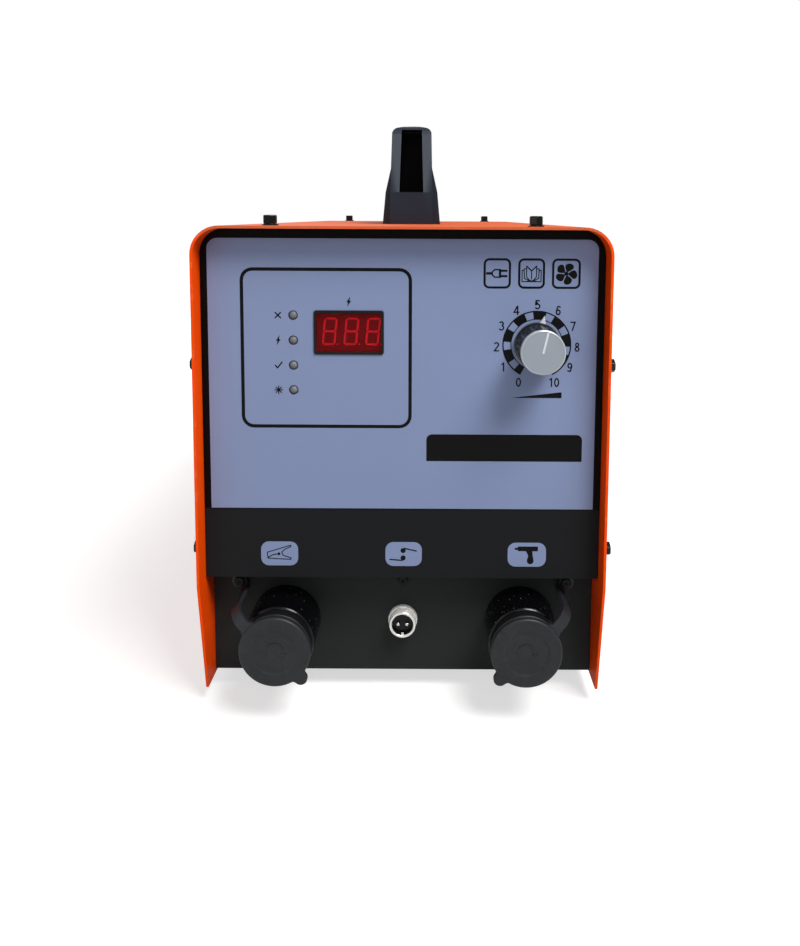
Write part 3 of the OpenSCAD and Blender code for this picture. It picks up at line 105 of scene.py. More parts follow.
class Shade:
    """A socket in a node tree that takes part in sums."""

    def __init__(self, tree, socket=None):
        self.tree = tree
        self.socket = socket

    def node(self, kind, settings, sockets, out=0):
        """Add a node, set it up, fill its sockets and return one of its outputs."""
        made = self.tree.nodes.new(kind)
        for key, value in settings.items():
            setattr(made, key, value)
        for key, value in sockets.items():
            self.fill(made.inputs[key], value)
        return Shade(self.tree, made.outputs[out])

    def fill(self, target, value):
        if isinstance(value, Shade):
            self.tree.links.new(value.socket, target)
        else:
            target.default_value = value

    __add__ = __radd__ = sign("ADD")
    __mul__ = __rmul__ = sign("MULTIPLY")
    __sub__, __rsub__ = sign("SUBTRACT"), sign("SUBTRACT", swapped=True)
    __lt__, __gt__, __abs__ = sign("LESS_THAN"), sign("GREATER_THAN"), sign("ABSOLUTE")

    def noise(self, size, detail=3.0, place=None):
        """Soft lumps of about the given size in millimetres."""
        sockets = {"Vector": place or self.place, "Scale": 1 / (size * MM), "Detail": detail}
        return self.node("ShaderNodeTexNoise", {}, sockets)

    def cells(self, size):
        """Distance from the nearest of many scattered points, in cells."""
        sockets = {"Vector": self.place, "Scale": 1 / (size * MM)}
        return self.node("ShaderNodeTexVoronoi", {}, sockets, "Distance")

    def waves(self, scale, way):
        """Even bands along one axis."""
        sockets = {"Vector": self.place, "Scale": scale}
        return self.node("ShaderNodeTexWave", {"bands_direction": way}, sockets, 1)

    def axis(self, name):
        return self.node("ShaderNodeSeparateXYZ", {}, {0: self.place}, name)

    def ramp(self, value, low, high, least=0.0):
        """A smooth rise to 1 between two values."""
        sockets = {"Value": value, "From Min": low, "From Max": high, "To Min": least}
        return self.node("ShaderNodeMapRange", {"interpolation_type": "SMOOTHSTEP"}, sockets)

    def mix(self, mask, first, second):
        """One colour turning into another where the mask is 1."""
        return self.node("ShaderNodeMix", {"data_type": "RGBA"}, {0: mask, 6: first, 7: second}, 2)

    def tint(self, mask, colour):
        """Turn the finish's base colour into another where the mask is 1."""
        self.parts["Base Color"] = self.mix(mask, self.parts["Base Color"], colour)


# %% Write colours as a screen shows them
def srgb(red, green, blue):
    """A screen colour from 0 to 255 as the linear colour that shaders use."""
    def linear(value):
        value /= 255
        return value / 12.92 if value <= 0.04045 else ((value + 0.055) / 1.055) ** 2.4
    return (linear(red), linear(green), linear(blue), 1.0)


def shaded(colour, share):
    """The colour made darker or lighter by a share."""
    return tuple(min(1.0, channel * share) for channel in colour[:3]) + (1.0,)


print("middle grey is", round(srgb(128, 128, 128)[0], 3), "in linear light")

# %% [markdown]
# ## Finishes
# Powder coat has a fine orange peel, moulded plastic a spark-eroded grain, and rubber a dusty bloom. They
# differ in colour, gloss and grain, but the graph is the same: a broad drift moves colour and gloss a
# little, and a fine grain feeds the bump. So one function makes them all, and a few add a detail. Some
# details paint light and shade into the colour: sheen on the top, and shade round the overlay, in the
# handle's channels and behind the caps' rims.

# %% Make a finish
DRIFT_SIZE, GLOSS_DRIFT, GLOSS_GRAIN, NOISE_MEAN = 45.0, 0.12, 0.1, 0.5
finishes = {}


def finish(name, slot, colour, rough, grain, relief, metal=0.0, drift=0.14, shine=0.25,
           detail=None, **sockets):
    """A finish with drifting colour and gloss over a fine grain, kept with its slot."""
    material = bpy.data.materials.new(name)
    material.use_nodes = True
    shader = material.node_tree.nodes["Principled BSDF"]
    shade = Shade(material.node_tree)
    shade.place = shade.node("ShaderNodeTexCoord", {}, {}, "Object")
    broad, fine = shade.noise(DRIFT_SIZE), shade.noise(grain)
    shade.parts = {
        "Base Color": shade.mix(broad, shaded(colour, 1 - drift), shaded(colour, 1 + drift)),
        "Roughness": rough + (broad - NOISE_MEAN) * GLOSS_DRIFT + (fine - NOISE_MEAN) * GLOSS_GRAIN,
        "Metallic": metal,
    }
    height = detail(shade, fine) if detail else fine
    bump = {"Height": height, "Distance": relief * MM}
    shade.parts["Normal"] = shade.node("ShaderNodeBump", {}, bump, "Normal")
    for key, value in shade.parts.items():
        shade.fill(shader.inputs[key], value)
    shader.inputs["Specular IOR Level"].default_value = shine
    for key, value in sockets.items():
        shader.inputs[key.replace("_", " ")].default_value = value
    finishes[name] = (slot, material)


# %% Add wear, dust and bloom, and painted sheen and shade
WORN_DEEP, WORN_SPOT, WORN_OVER, WORN_SHARE = 0.5, 7.0, 0.6, 0.25
DUST_SHEEN_DEEP, DUST_SHEEN_PATCH, DUST_SHEEN_LEAST, DUST_SHEEN_SHARE, DUST_DULL = 7.0, 18.0, 0.65, 0.55, 0.25
PEEL, PEEL_SHARE, BORDER_SHADE_OVER = 1.1, 0.6, 0.5
SPECK_CELL, SPECK_R, SPECK_PATCH, SPECK_OVER, SPECK_SHARE, SPECK_DULL = 2.6, 0.1, 9.0, 0.48, 0.5, 0.4
BLOOM_PATCH, BLOOM_DETAIL, BLOOM_SPOT, BLOOM_SHARE = 11.0, 5.0, 2.3, 0.3
RIM_DEEP, RIM_SHADE_SHARE = 2.4, 0.85
cap_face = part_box("left_cap")[0].y


def rubbed(shade, fine):
    """Paint worn a little paler in spots along the hood's front edge, a tan top that is dust and painted
    sheen, over orange peel.
    """
    edge = shade.axis("Y") < hood_front + WORN_DEEP * MM
    spots = edge * (shade.noise(WORN_SPOT) > WORN_OVER)
    shade.tint(spots * WORN_SHARE, srgb(236, 128, 70))
    # The tan tint on the top is partly dust and partly painted sheen: the grey reflection a top shows at
    # grazing.
    level = shade.ramp(shade.axis("Z"), hood_top - DUST_SHEEN_DEEP * MM, hood_top)
    dust_and_sheen = level * (DUST_SHEEN_LEAST + shade.noise(DUST_SHEEN_PATCH) * (1 - DUST_SHEEN_LEAST))
    shade.tint(dust_and_sheen * DUST_SHEEN_SHARE, srgb(150, 118, 86))
    shade.parts["Roughness"] += level * DUST_DULL
    return shade.cells(PEEL) * PEEL_SHARE + fine * (1 - PEEL_SHARE)


def bordered(shade, fine):
    """Painted shade: a deeper black on the border round the overlay, where the hood's walls shade it, than
    on the band below it.
    """
    # Painted shade: everything above the band is darkened to near black.
    shade.tint(shade.axis("Z") > overlay_low.z - BORDER_SHADE_OVER * MM, srgb(5, 4, 4))
    return fine


def dusty(shade, fine):
    """Specks of dust on a gloss surface."""
    specks = (shade.cells(SPECK_CELL) < SPECK_R) * (shade.noise(SPECK_PATCH) > SPECK_OVER)
    shade.tint(specks * SPECK_SHARE, srgb(150, 150, 150))
    shade.parts["Roughness"] += specks * SPECK_DULL
    return fine


def bloomed(shade, fine):
    """The grey bloom that handling leaves on soft rubber."""
    bloom = shade.noise(BLOOM_PATCH, BLOOM_DETAIL) * shade.noise(BLOOM_SPOT)
    shade.tint(bloom * BLOOM_SHARE, srgb(88, 90, 92))
    return fine


def handled(shade, fine):
    """Bloom on a cap's face, and painted shade: darker rubber behind its rim, where the rim shades it."""
    bloomed(shade, fine)
    # Painted shade: the rubber behind the rim is turned near black.
    shade_behind_rim = shade.axis("Y") > cap_face + RIM_DEEP * MM
    shade.tint(shade_behind_rim * RIM_SHADE_SHARE, srgb(4, 5, 7))
    return fine


print("dust lies down to", DUST_SHEEN_DEEP, "mm below the top")

# %% Add grain, lines, layers and painted channel shade
BLOCK_H, ROOF_UP, CHANNEL_HALF, CHANNEL_TAPER, CHANNEL_DEEP = 22.0, 43.5, 8.26, 0.0287, 28.5
CHANNEL_FLOOR, CHANNEL_ROOF, SKIN_COAT = 0.3, 0.2, 0.85
ISLAND, ISLAND_SHARE = 0.55, 0.7
BRUSH_SIZE, BRUSH_STRETCH, BRUSH_GLOSS = 0.25, (1.0, 0.02, 1.0), 0.25
SHEET_SCALE, TURN_SCALE = 320.0, 210.0
handle_low, handle_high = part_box("carry_handle")
handle_mid, handle_reach = (handle_low + handle_high) / 2, (handle_high.y - handle_low.y) / 2


def grained(shade, fine):
    """Spark-eroded grain: small flat-topped islands."""
    return shade.cells(ISLAND) * ISLAND_SHARE + fine * (1 - ISLAND_SHARE)


def hollowed(shade, fine):
    """Grain under a thin gloss on the handle's skin, and painted shade: near black on the walls inside its
    channels.
    """
    up = shade.axis("Z") - (handle_low.z + BLOCK_H * MM)
    aside, along = abs(shade.axis("X") - handle_mid.x), abs(shade.axis("Y") - handle_mid.y)
    inside = (aside < CHANNEL_HALF * MM - up * CHANNEL_TAPER) * (along > handle_reach - CHANNEL_DEEP * MM)
    inside = inside * (up > CHANNEL_FLOOR * MM) * (up < (ROOF_UP - CHANNEL_ROOF) * MM)
    # Painted shade: the walls inside the channels are turned near black.
    shade.tint(inside, srgb(4, 4, 5))
    shade.parts["Coat Weight"] = (1 - inside) * SKIN_COAT
    return grained(shade, fine)


def brushed(shade, fine):
    """Fine lines along the depth of the machine."""
    drawn_out = shade.node("ShaderNodeMapping", {}, {"Vector": shade.place, "Scale": BRUSH_STRETCH})
    lines = shade.noise(BRUSH_SIZE, place=drawn_out)
    shade.parts["Roughness"] += (lines - NOISE_MEAN) * BRUSH_GLOSS
    return lines


def stacked(shade, fine):
    """Thin sheets laid front to back."""
    sheets = shade.waves(SHEET_SCALE, "Y")
    shade.tint(sheets, srgb(60, 56, 52))
    return sheets


def wound(shade, fine):
    """Turns of enamelled wire, one above another."""
    turns = shade.waves(TURN_SCALE, "Z")
    shade.tint(1 - turns, srgb(70, 34, 10))
    return turns


print("handle", [round(side / MM, 1) for side in handle_high - handle_low], "mm")

# %% Mix every finish
finish("orange_coat", "orange_paint", srgb(248, 76, 0), 0.42, 0.5, 0.03, drift=0.05, shine=0.1,
       detail=rubbed)
finish("band_black", "black_paint", srgb(27, 28, 30), 0.5, 0.45, 0.025, drift=0.1, shine=0.08,
       detail=bordered)
finish("panel_black", "black_paint", srgb(37, 40, 40), 0.52, 0.45, 0.025, drift=0.1, shine=0.12)
finish("tray_grey", "grey_steel", srgb(96, 98, 100), 0.45, 0.6, 0.02)
finish("film", "overlay_film", srgb(130, 144, 180), 0.5, 0.3, 0.006, drift=0.02, shine=0.15)
finish("handle_skin", "black_plastic", srgb(16, 26, 41), 0.5, 0.3, 0.012, detail=hollowed, shine=0.06,
       Coat_Roughness=0.28)
finish("moulded", "black_plastic", srgb(34, 36, 40), 0.42, 0.3, 0.03, detail=grained)
finish("trim_black", "black_plastic", srgb(10, 10, 11), 0.36, 0.3, 0.01)
finish("knob_black", "black_plastic", srgb(14, 16, 22), 0.24, 0.3, 0.006, shine=0.8)
finish("barrel_gloss", "gloss_black", srgb(6, 6, 8), 0.2, 2.0, 0.004, detail=dusty)
finish("cap_rubber", "cap_rubber", srgb(18, 21, 25), 0.46, 0.4, 0.012, detail=handled, shine=0.35)
finish("strap_rubber", "cap_rubber", srgb(21, 25, 31), 0.42, 0.4, 0.012, detail=bloomed, shine=0.35)
finish("foot_rubber", "foot_rubber", srgb(20, 20, 20), 0.75, 0.5, 0.03, detail=bloomed)
finish("oxide", "black_screw", srgb(5, 5, 6), 0.2, 0.3, 0.006, shine=0.3)
finish("dull_oxide", "black_screw", srgb(26, 26, 27), 0.45, 0.3, 0.006, shine=0.15)
finish("zinc", "zinc", srgb(190, 192, 196), 0.32, 0.4, 0.006, metal=1.0, detail=brushed)
finish("chrome", "chrome", srgb(214, 214, 216), 0.14, 0.6, 0.002, metal=1.0)
finish("nickel", "chrome", srgb(240, 238, 234), 0.24, 0.5, 0.003, metal=0.45)
finish("brass", "brass", srgb(206, 170, 92), 0.28, 0.4, 0.006, metal=1.0, detail=brushed)
finish("copper", "copper", srgb(198, 122, 82), 0.34, 0.5, 0.006, metal=1.0, detail=brushed)
finish("aluminium", "aluminium", srgb(188, 194, 198), 0.36, 0.4, 0.008, metal=1.0, detail=brushed)
finish("knob_face", "aluminium", srgb(150, 158, 168), 0.45, 0.35, 0.004, drift=0.03)
finish("knob_rim", "chrome", srgb(205, 210, 216), 0.32, 0.5, 0.003, metal=0.6)
finish("red_window", "red_filter", srgb(120, 10, 14), 0.16, 4.0, 0.002, shine=0.12, Alpha=0.4)
finish("red_module", "red_filter", srgb(122, 22, 26), 0.5, 0.6, 0.01, shine=0.1)
finish("lit_segment", "red_filter", srgb(214, 30, 42), 0.5, 0.6, 0.004, shine=0.1,
       Emission_Color=srgb(230, 24, 36), Emission_Strength=0.35)
finish("lamp_glass", "lamp_lens", srgb(112, 114, 120), 0.34, 0.6, 0.004)
finish("rocker_red", "red_plastic", srgb(176, 18, 18), 0.22, 0.8, 0.004)
finish("white_mark", "white_plastic", srgb(214, 218, 224), 0.5, 0.5, 0.004, drift=0.03)
finish("black_ink", "black_plastic", srgb(10, 10, 12), 0.45, 0.3, 0.004, drift=0.05, shine=0.1)
finish("board", "board", srgb(38, 92, 54), 0.36, 1.2, 0.02)
finish("sleeve", "can_sleeve", srgb(42, 60, 124), 0.3, 2.0, 0.01)
finish("core", "core_iron", srgb(104, 98, 92), 0.5, 0.4, 0.06, metal=0.5, detail=stacked)
finish("winding", "winding", srgb(196, 128, 56), 0.3, 0.5, 0.2, detail=wound)
print(len(finishes), "finishes")

# %% Give the carried-over solids a finish
DRESS = {
    "orange_coat": "top_cover",
    "band_black": "front_fascia",
    "panel_black": "connector_panel rear_panel",
    "tray_grey": "base_tray",
    "film": "panel_overlay",
    "handle_skin": "carry_handle",
    "moulded": "gland_body gland_cap gland_nut fan_frame fan_rotor",
    "knob_black": "knob_body",
    "trim_black": "display_bezel switch_housing control_socket_insert thyristor rectifier",
    "barrel_gloss": "left_socket_body right_socket_body",
    "cap_rubber": "left_cap right_cap",
    "strap_rubber": "left_cap_strap right_cap_strap",
    "foot_rubber": "rubber_feet",
    "oxide": "cover_screws machine_screws handle_bolts",
    "dull_oxide": "panel_screws",
    "zinc": "foot_screws panel_nuts socket_nuts earth_terminal bus_screws board_spacers capacitor_posts "
            "capacitor_clamp pot_shaft potentiometer",
    "chrome": "control_socket_pins fan_guard",
    "nickel": "control_socket_shell",
    "brass": "left_socket_contact right_socket_contact",
    "copper": "negative_bus positive_bus gun_link",
    "aluminium": "heat_sink",
    "knob_face": "knob_cap",
    "white_mark": "knob_pointer",
    "red_window": "display_filter",
    "red_module": "display_module",
    "lamp_glass": "indicator_leds",
    "rocker_red": "power_rocker",
    "board": "display_board control_board",
    "sleeve": "capacitor_cans",
    "core": "transformer_core",
    "winding": "transformer_coil",
}
finish_of = {node: name for name, nodes in DRESS.items() for node in nodes.split()}


def dress(piece, name):
    """Give a piece a finish."""
    slot, material = finishes[name]
    piece.data.materials.clear()
    piece.data.materials.append(material)


for node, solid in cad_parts.items():
    dress(solid, finish_of[node])
print(len(finish_of), "solids dressed of", len(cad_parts))

# %% [markdown]
# ## Tools for modelling
# Every new piece starts from a primitive or a copy and is shaped with edit-mode operators, as by hand.
# A point pulled along a path gives an outline: filled, it is a plate, and spun, it is a turned part.

# %% Pull, fill and spin
SAME_POINT = 0.0005


def mode(name):
    bpy.ops.object.mode_set(mode=name)


def pick(piece):
    """Leave edit mode and select one piece alone."""
    if bpy.context.object and bpy.context.object.mode == "EDIT":
        mode("OBJECT")
    bpy.ops.object.select_all(action="DESELECT")
    if piece:
        piece.select_set(True)
        bpy.context.view_layer.objects.active = piece


def pulled(name, points):
    """One vertex pulled along the points. The new piece is left in edit mode."""
    pick(None)
    bpy.ops.mesh.primitive_plane_add(size=MM)
    piece = bpy.context.object
    piece.name = piece.data.name = name
    mode("EDIT")
    bpy.ops.mesh.merge(type="CENTER")
    bpy.ops.transform.translate(value=points[0])
    for here, there in zip(points, points[1:]):
        step = Vector(there) - Vector(here)
        bpy.ops.mesh.extrude_region_move(TRANSFORM_OT_translate={"value": step})
    bpy.ops.mesh.select_all(action="SELECT")
    return piece


def closed_up(piece):
    """Merge doubles, turn all faces outwards and leave edit mode."""
    bpy.ops.mesh.select_all(action="SELECT")
    bpy.ops.mesh.remove_doubles(threshold=SAME_POINT * MM)
    bpy.ops.mesh.normals_make_consistent(inside=False)
    mode("OBJECT")
    return piece


def plate(name, outline, front, thick, line=0.0):
    """A flat plate that faces the front, or only its edge line of the given width."""
    piece = pulled(name, [(x, front + thick, z) for x, z in outline])
    bpy.ops.mesh.edge_face_add()
    if line:
        bpy.ops.mesh.inset(thickness=line)
        bpy.ops.mesh.delete(type="FACE")
        bpy.ops.mesh.select_all(action="SELECT")
    bpy.ops.mesh.extrude_region_move(TRANSFORM_OT_translate={"value": (0, -thick, 0)})
    return closed_up(piece)


def turned(name, profile, centre, steps=96):
    """A profile of radius and distance ahead in millimetres, spun about an axis along the depth."""
    points = [(centre.x + radius * MM, centre.y - ahead * MM, centre.z) for radius, ahead in profile]
    piece = pulled(name, points)
    bpy.ops.mesh.spin(steps=steps, angle=math.tau, center=centre, axis=(0, 1, 0))
    return closed_up(piece)


# %% Draw outlines with compass and pen
SHARPEST = 0.5


def arc(x, z, radius, start, end, steps=6):
    """Points on an arc between two angles in degrees."""
    angles = [math.radians(start + (end - start) * i / steps) for i in range(steps + 1)]
    return [(x + radius * math.cos(a), z + radius * math.sin(a)) for a in angles]


def oval(x, z, wide, high, steps=28):
    angles = [math.tau * i / steps for i in range(steps)]
    return [(x + wide * math.cos(a), z + high * math.sin(a)) for a in angles]


def rounded(x0, z0, x1, z1, radius):
    """A rectangle with four round corners, anticlockwise from its lower right."""
    left, right, low, high = x0 + radius, x1 - radius, z0 + radius, z1 - radius
    return (arc(right, low, radius, -90, 0) + arc(right, high, radius, 0, 90)
            + arc(left, high, radius, 90, 180) + arc(left, low, radius, 180, 270))


def stroke(start, end, width):
    """A straight pen stroke as a thin rectangle."""
    a, b = Vector(start), Vector(end)
    side = (b - a).orthogonal().normalized() * width / 2
    return [tuple(p) for p in (a - side, b - side, b + side, a + side)]


def pen(points, width):
    """A pen stroke of even width along several points."""
    path = [Vector(point) for point in points]
    sides = []
    for i, point in enumerate(path):
        before = (point - path[i - 1]).normalized() if i else (path[1] - point).normalized()
        after = (path[i + 1] - point).normalized() if i + 1 < len(path) else before
        middle = (before + after).normalized()
        sides.append(middle.orthogonal() * width / 2 / max(SHARPEST, middle.dot(after)))
    there, back = ([tuple(p + s * way) for p, s in zip(path, sides)] for way in (1, -1))
    return there + back[::-1]


print("a rounded box has", len(rounded(0, 0, 2, 2, 0.5)), "points")

# %% Join, bevel and settle
SMOOTH_UNDER, FACE_WEIGHT, EDGE_STEPS = math.radians(35), 100, 3


def joined(name, pieces):
    """Several pieces made one."""
    pick(pieces[0])
    for piece in pieces[1:]:
        piece.select_set(True)
    if len(pieces) > 1:
        bpy.ops.object.join()
    pieces[0].name = pieces[0].data.name = name
    return pieces[0]


def modified(piece, kind, **settings):
    """Set up a modifier on a piece in object mode and apply it."""
    pick(piece)
    change = piece.modifiers.new("change", kind)
    for key, value in settings.items():
        setattr(change, key, value)
    bpy.ops.object.modifier_apply(modifier="change")


def settle(piece, name, body="case", stands_for=(), rides=True):
    """Apply the piece's place, smooth it, give it a finish and let it ride on a body."""
    pick(piece)
    bpy.ops.object.transform_apply(location=True, rotation=True, scale=True)
    bpy.ops.object.shade_smooth_by_angle(angle=SMOOTH_UNDER)
    modified(piece, "WEIGHTED_NORMAL", weight=FACE_WEIGHT, keep_sharp=True)
    dress(piece, name)
    if rides:
        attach(piece, body)
    if stands_for:
        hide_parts(*stands_for)


# %% [markdown]
# ## Edges that catch the light
# A solid from the frame has knife-sharp edges, and no real part has. Sheet steel has a burr-free edge of
# a third of a millimetre and mouldings have small radii, and these thin highlights make a render look
# real. Each outside solid is copied, its loose triangles are merged, and its sharp edges are bevelled.

# %% Ease the edges of the outside pieces
FLAT, SHARP, SAME_CORNER = math.radians(0.4), math.radians(28), 0.002


def merged_copy(node, name):
    """A copy of a solid with its loose triangles merged, left in edit mode."""
    piece = bpy.data.objects.new(name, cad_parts[node].data.copy())
    bpy.context.scene.collection.objects.link(piece)
    pick(piece)
    mode("EDIT")
    bpy.ops.mesh.select_all(action="SELECT")
    bpy.ops.mesh.remove_doubles(threshold=SAME_CORNER * MM)
    return piece


def eased(node, width, body="case"):
    """A copy of a solid with rounded edges, which stands for it."""
    piece = merged_copy(node, node + "_eased")
    bpy.ops.mesh.dissolve_limited(angle_limit=FLAT)
    mode("OBJECT")
    modified(piece, "BEVEL", width=width * MM, segments=EDGE_STEPS, limit_method="ANGLE", angle_limit=SHARP,
             miter_outer="MITER_ARC")
    settle(piece, finish_of[node], body, (node,))


EASE = {
    "top_cover": 0.35, "front_fascia": 0.4, "connector_panel": 0.35, "rear_panel": 0.35, "base_tray": 0.3,
    "carry_handle": 1.0, "panel_screws": 0.5, "machine_screws": 0.5, "rubber_feet": 0.8,
    "display_bezel": 0.25, "left_socket_body": 0.4, "right_socket_body": 0.4, "switch_housing": 0.5,
    "gland_body": 0.5, "gland_cap": 0.6, "earth_terminal": 0.3, "fan_frame": 0.5,
    "control_socket_insert": 0.2, "control_socket_pins": 0.4,
}
EASE_MOVING = {"power_rocker": (0.5, "rocker"), "fan_rotor": (0.35, "fan"), "knob_body": (0.2, "knob")}
for node, width in EASE.items():
    eased(node, width)
for node, (width, body) in EASE_MOVING.items():
    eased(node, width, body)
print(len(EASE) + len(EASE_MOVING), "solids eased")

# %% [markdown]
# ## Flange screws
# The cover is held by black hexagon screws with a round flange under the head and a shallow dish on top.
# Bevelling the plain solid would round the thin flange away. So one screw is modelled with its flange and
# chamfer, and copied to each place, which the solid's loose parts give.

# %% Model one flange screw
HEX_R, HEAD_BASE, HEAD_TOP, HEAD_CHAMFER, HEAD_EDGE, SHANK = 4.04, 1.0, 6.0, 0.4, 0.45, 8.0
FLANGE_STEPS, FACES_FRONT = 40, -0.9
SCREW_PROFILE = [(0, -SHANK), (1.7, -SHANK), (2.0, -SHANK + 0.3), (2.0, 0), (4.6, 0), (4.7, 0.15),
                 (4.7, 0.5), (4.45, 0.8), (3.9, 1.1), (0, 1.15)]
HEAD_INSETS = ((0.65, HEAD_CHAMFER), (0.7, 0.0), (0.5, -0.6))


def flange_screw():
    """A screw that points to the front, with its flange's seat at the origin."""
    flange = turned("screw", SCREW_PROFILE, Vector((0, 0, 0)), FLANGE_STEPS)
    pick(None)
    straight = HEAD_TOP - HEAD_CHAMFER
    bpy.ops.mesh.primitive_cylinder_add(
        vertices=6, radius=HEX_R * MM, depth=(straight - HEAD_BASE) * MM,
        location=(0, -(straight + HEAD_BASE) / 2 * MM, 0), rotation=(math.pi / 2, 0, 0))
    head = bpy.context.object
    bpy.ops.object.transform_apply(location=True, rotation=True)
    mode("EDIT")
    bpy.ops.mesh.select_all(action="DESELECT")
    mode("OBJECT")
    for face in head.data.polygons:
        face.select = face.normal.y < FACES_FRONT
    mode("EDIT")
    for inwards, up in HEAD_INSETS:
        bpy.ops.mesh.inset(thickness=inwards * MM, depth=up * MM)
    mode("OBJECT")
    modified(head, "BEVEL", width=HEAD_EDGE * MM, segments=EDGE_STEPS)
    return joined("screw", [flange, head])


pattern = flange_screw()
print("a flange screw has", len(pattern.data.polygons), "faces")


# %% Copy the screw to every place
def loose_boxes(node):
    """Corners of each separate part of a solid."""
    merged_copy(node, "loose")
    bpy.ops.mesh.separate(type="LOOSE")
    mode("OBJECT")
    loose = bpy.context.selected_objects
    boxes = [(Vector(part.bound_box[0]), Vector(part.bound_box[6])) for part in loose]
    bpy.ops.object.delete()
    return boxes


screws = []
for low, high in loose_boxes("cover_screws"):
    size, middle = high - low, (low + high) / 2
    screw = pattern.copy()
    screw.data = pattern.data.copy()
    bpy.context.scene.collection.objects.link(screw)
    if size.z > size.x:
        screw.location = (middle.x, middle.y, cover_high.z)
        screw.rotation_euler = (-math.pi / 2, 0, 0)
    else:
        way = 1 if middle.x > 0 else -1
        screw.location = (cover_high.x if way > 0 else cover_low.x, middle.y, middle.z)
        screw.rotation_euler = (0, 0, way * math.pi / 2)
    screws.append(screw)
bpy.data.objects.remove(pattern)
print(len(screws), "flange screws")
settle(joined("cover_screw_heads", screws), "oxide", stands_for=("cover_screws",))

# %% [markdown]
# ## Cross recesses in painted shade
# The small round-head screws have a cross recess. At this size it reads as a dark cross of shade, so painted
# shade stands in for it: a thin black cross on each head, turned to the side that the head faces: front,
# rear or below.

# %% Paint the shade of the round heads' cross recesses
CROSS_HALF, CROSS_W, CROSS_OUT, CROSS_T = 1.6 * MM, 0.75 * MM, 0.06 * MM, 0.08 * MM
RECESS_SHADE_BARS = (((-CROSS_HALF, 0), (CROSS_HALF, 0)), ((0, -CROSS_HALF), (0, CROSS_HALF)))
recess_shade_crosses = []
for low, high in loose_boxes("panel_screws") + loose_boxes("machine_screws"):
    size, middle = high - low, (low + high) / 2
    # Each cross is painted shade: a black plate laid where the recess's shade would fall.
    bars = [plate("cross", stroke(start, end, CROSS_W), -CROSS_OUT, CROSS_T) for start, end in RECESS_SHADE_BARS]
    cross = joined("cross", bars)
    if size.z > size.y:
        cross.location, cross.rotation_euler = (middle.x, middle.y, low.z), (math.pi / 2, 0, 0)
    elif middle.y < 0:
        cross.location = (middle.x, low.y, middle.z)
    else:
        cross.location, cross.rotation_euler = (middle.x, high.y, middle.z), (0, 0, math.pi)
    recess_shade_crosses.append(cross)
print(len(recess_shade_crosses), "cross recesses")
settle(joined("screw_recess_shades", recess_shade_crosses), "black_ink")

# %% [markdown]
# ## Printed signs on the overlay
# The overlay is a printed film. Its lines are modelled as ink: plates a few hundredths of a millimetre
# proud, so that they stay crisp from any distance. Places are in millimetres right of the middle and
# below the hood's top.

# %% Lay down ink
INK_T, INK_OUT, INK_STEP, SECOND_COAT = 0.06, 0.04, 0.001, 0.03
ink_front = overlay_low.y - INK_OUT * MM


def at(right, drop):
    """A point of the front in metres, from millimetres right of the middle and below the hood."""
    return (right * MM, hood_top - drop * MM)


def box_at(left, top, right, bottom, radius):
    x0, z1 = at(left, top)
    x1, z0 = at(right, bottom)
    return rounded(x0, z0, x1, z1, radius * MM)


def around(centre, points):
    """Points in millimetres about a centre, as points of the front."""
    return [(centre[0] + x * MM, centre[1] + z * MM) for x, z in points]


def parted(shape):
    """A shape's outline and line width, where a plain outline is filled and has none."""
    return shape if isinstance(shape, tuple) else (shape, 0.0)


def placed(centre, shapes, size=1.0):
    """Shapes in units of a size in millimetres, set about a centre."""
    made = []
    for outline, line in map(parted, shapes):
        made.append((around(centre, [(x * size, z * size) for x, z in outline]), line * size))
    return made


def inked(name, shapes, colour="black_ink", front=ink_front):
    """Plates joined into one sign. A shape is an outline, or an outline with a line width."""
    made = []
    for i, (outline, line) in enumerate(map(parted, shapes)):
        made.append(plate(name, outline, front - i * INK_STEP * MM, INK_T * MM, line * MM))
    settle(joined(name, made), colour)


# %% Print the frame and the bar
FRAME_LINE, BAR_R = 1.9, 3.2 * MM
inked("lamp_frame", [(box_at(-91, 23.3, 5.3, 114.5, 7.0), FRAME_LINE)])
(bar_left, bar_top), (bar_right, bar_low) = at(13.7, 117.9), at(102.2, 133.5)
inked("bare_bar", [arc(bar_right - BAR_R, bar_top - BAR_R, BAR_R, 0, 90)
                   + arc(bar_left + BAR_R, bar_top - BAR_R, BAR_R, 90, 180)
                   + [(bar_left, bar_low), (bar_right, bar_low)]])
print("bar", round((bar_right - bar_left) / MM, 1), "mm long")

# %% Print the plug, the book and the fan
ICON_TOP, ICON_BOTTOM, ICON_R, ICON_LINE = 17.5, 34.5, 3.2, 1.25
PETALS, PETAL_MID, PETAL_HALF, PETAL_WIDE, PETAL_ROOT, PETAL_FULL = 5, 3.6, 2.5, 2.6, 0.22, 5.6
PETAL_SKEW, FAN_TURN, HUB_R = 0.12, 0.3, 1.2


def icon(name, left, right, shapes):
    """Signs inside a rounded frame, about the frame's middle."""
    centre = at((left + right) / 2, (ICON_TOP + ICON_BOTTOM) / 2)
    frame_line = (box_at(left, ICON_TOP, right, ICON_BOTTOM, ICON_R), ICON_LINE)
    inked(name, [frame_line] + placed(centre, shapes))


def petal(turn):
    """A blade of the fan sign: an oval drawn in towards the hub."""
    points = []
    for x, z in arc(0, 0, 1, 0, 342, 19):
        along = PETAL_MID + PETAL_HALF * z
        across = PETAL_WIDE * x * min(1.0, PETAL_ROOT + along / PETAL_FULL) + PETAL_SKEW * along
        points.append((across * math.cos(turn) - along * math.sin(turn),
                       across * math.sin(turn) + along * math.cos(turn)))
    return points


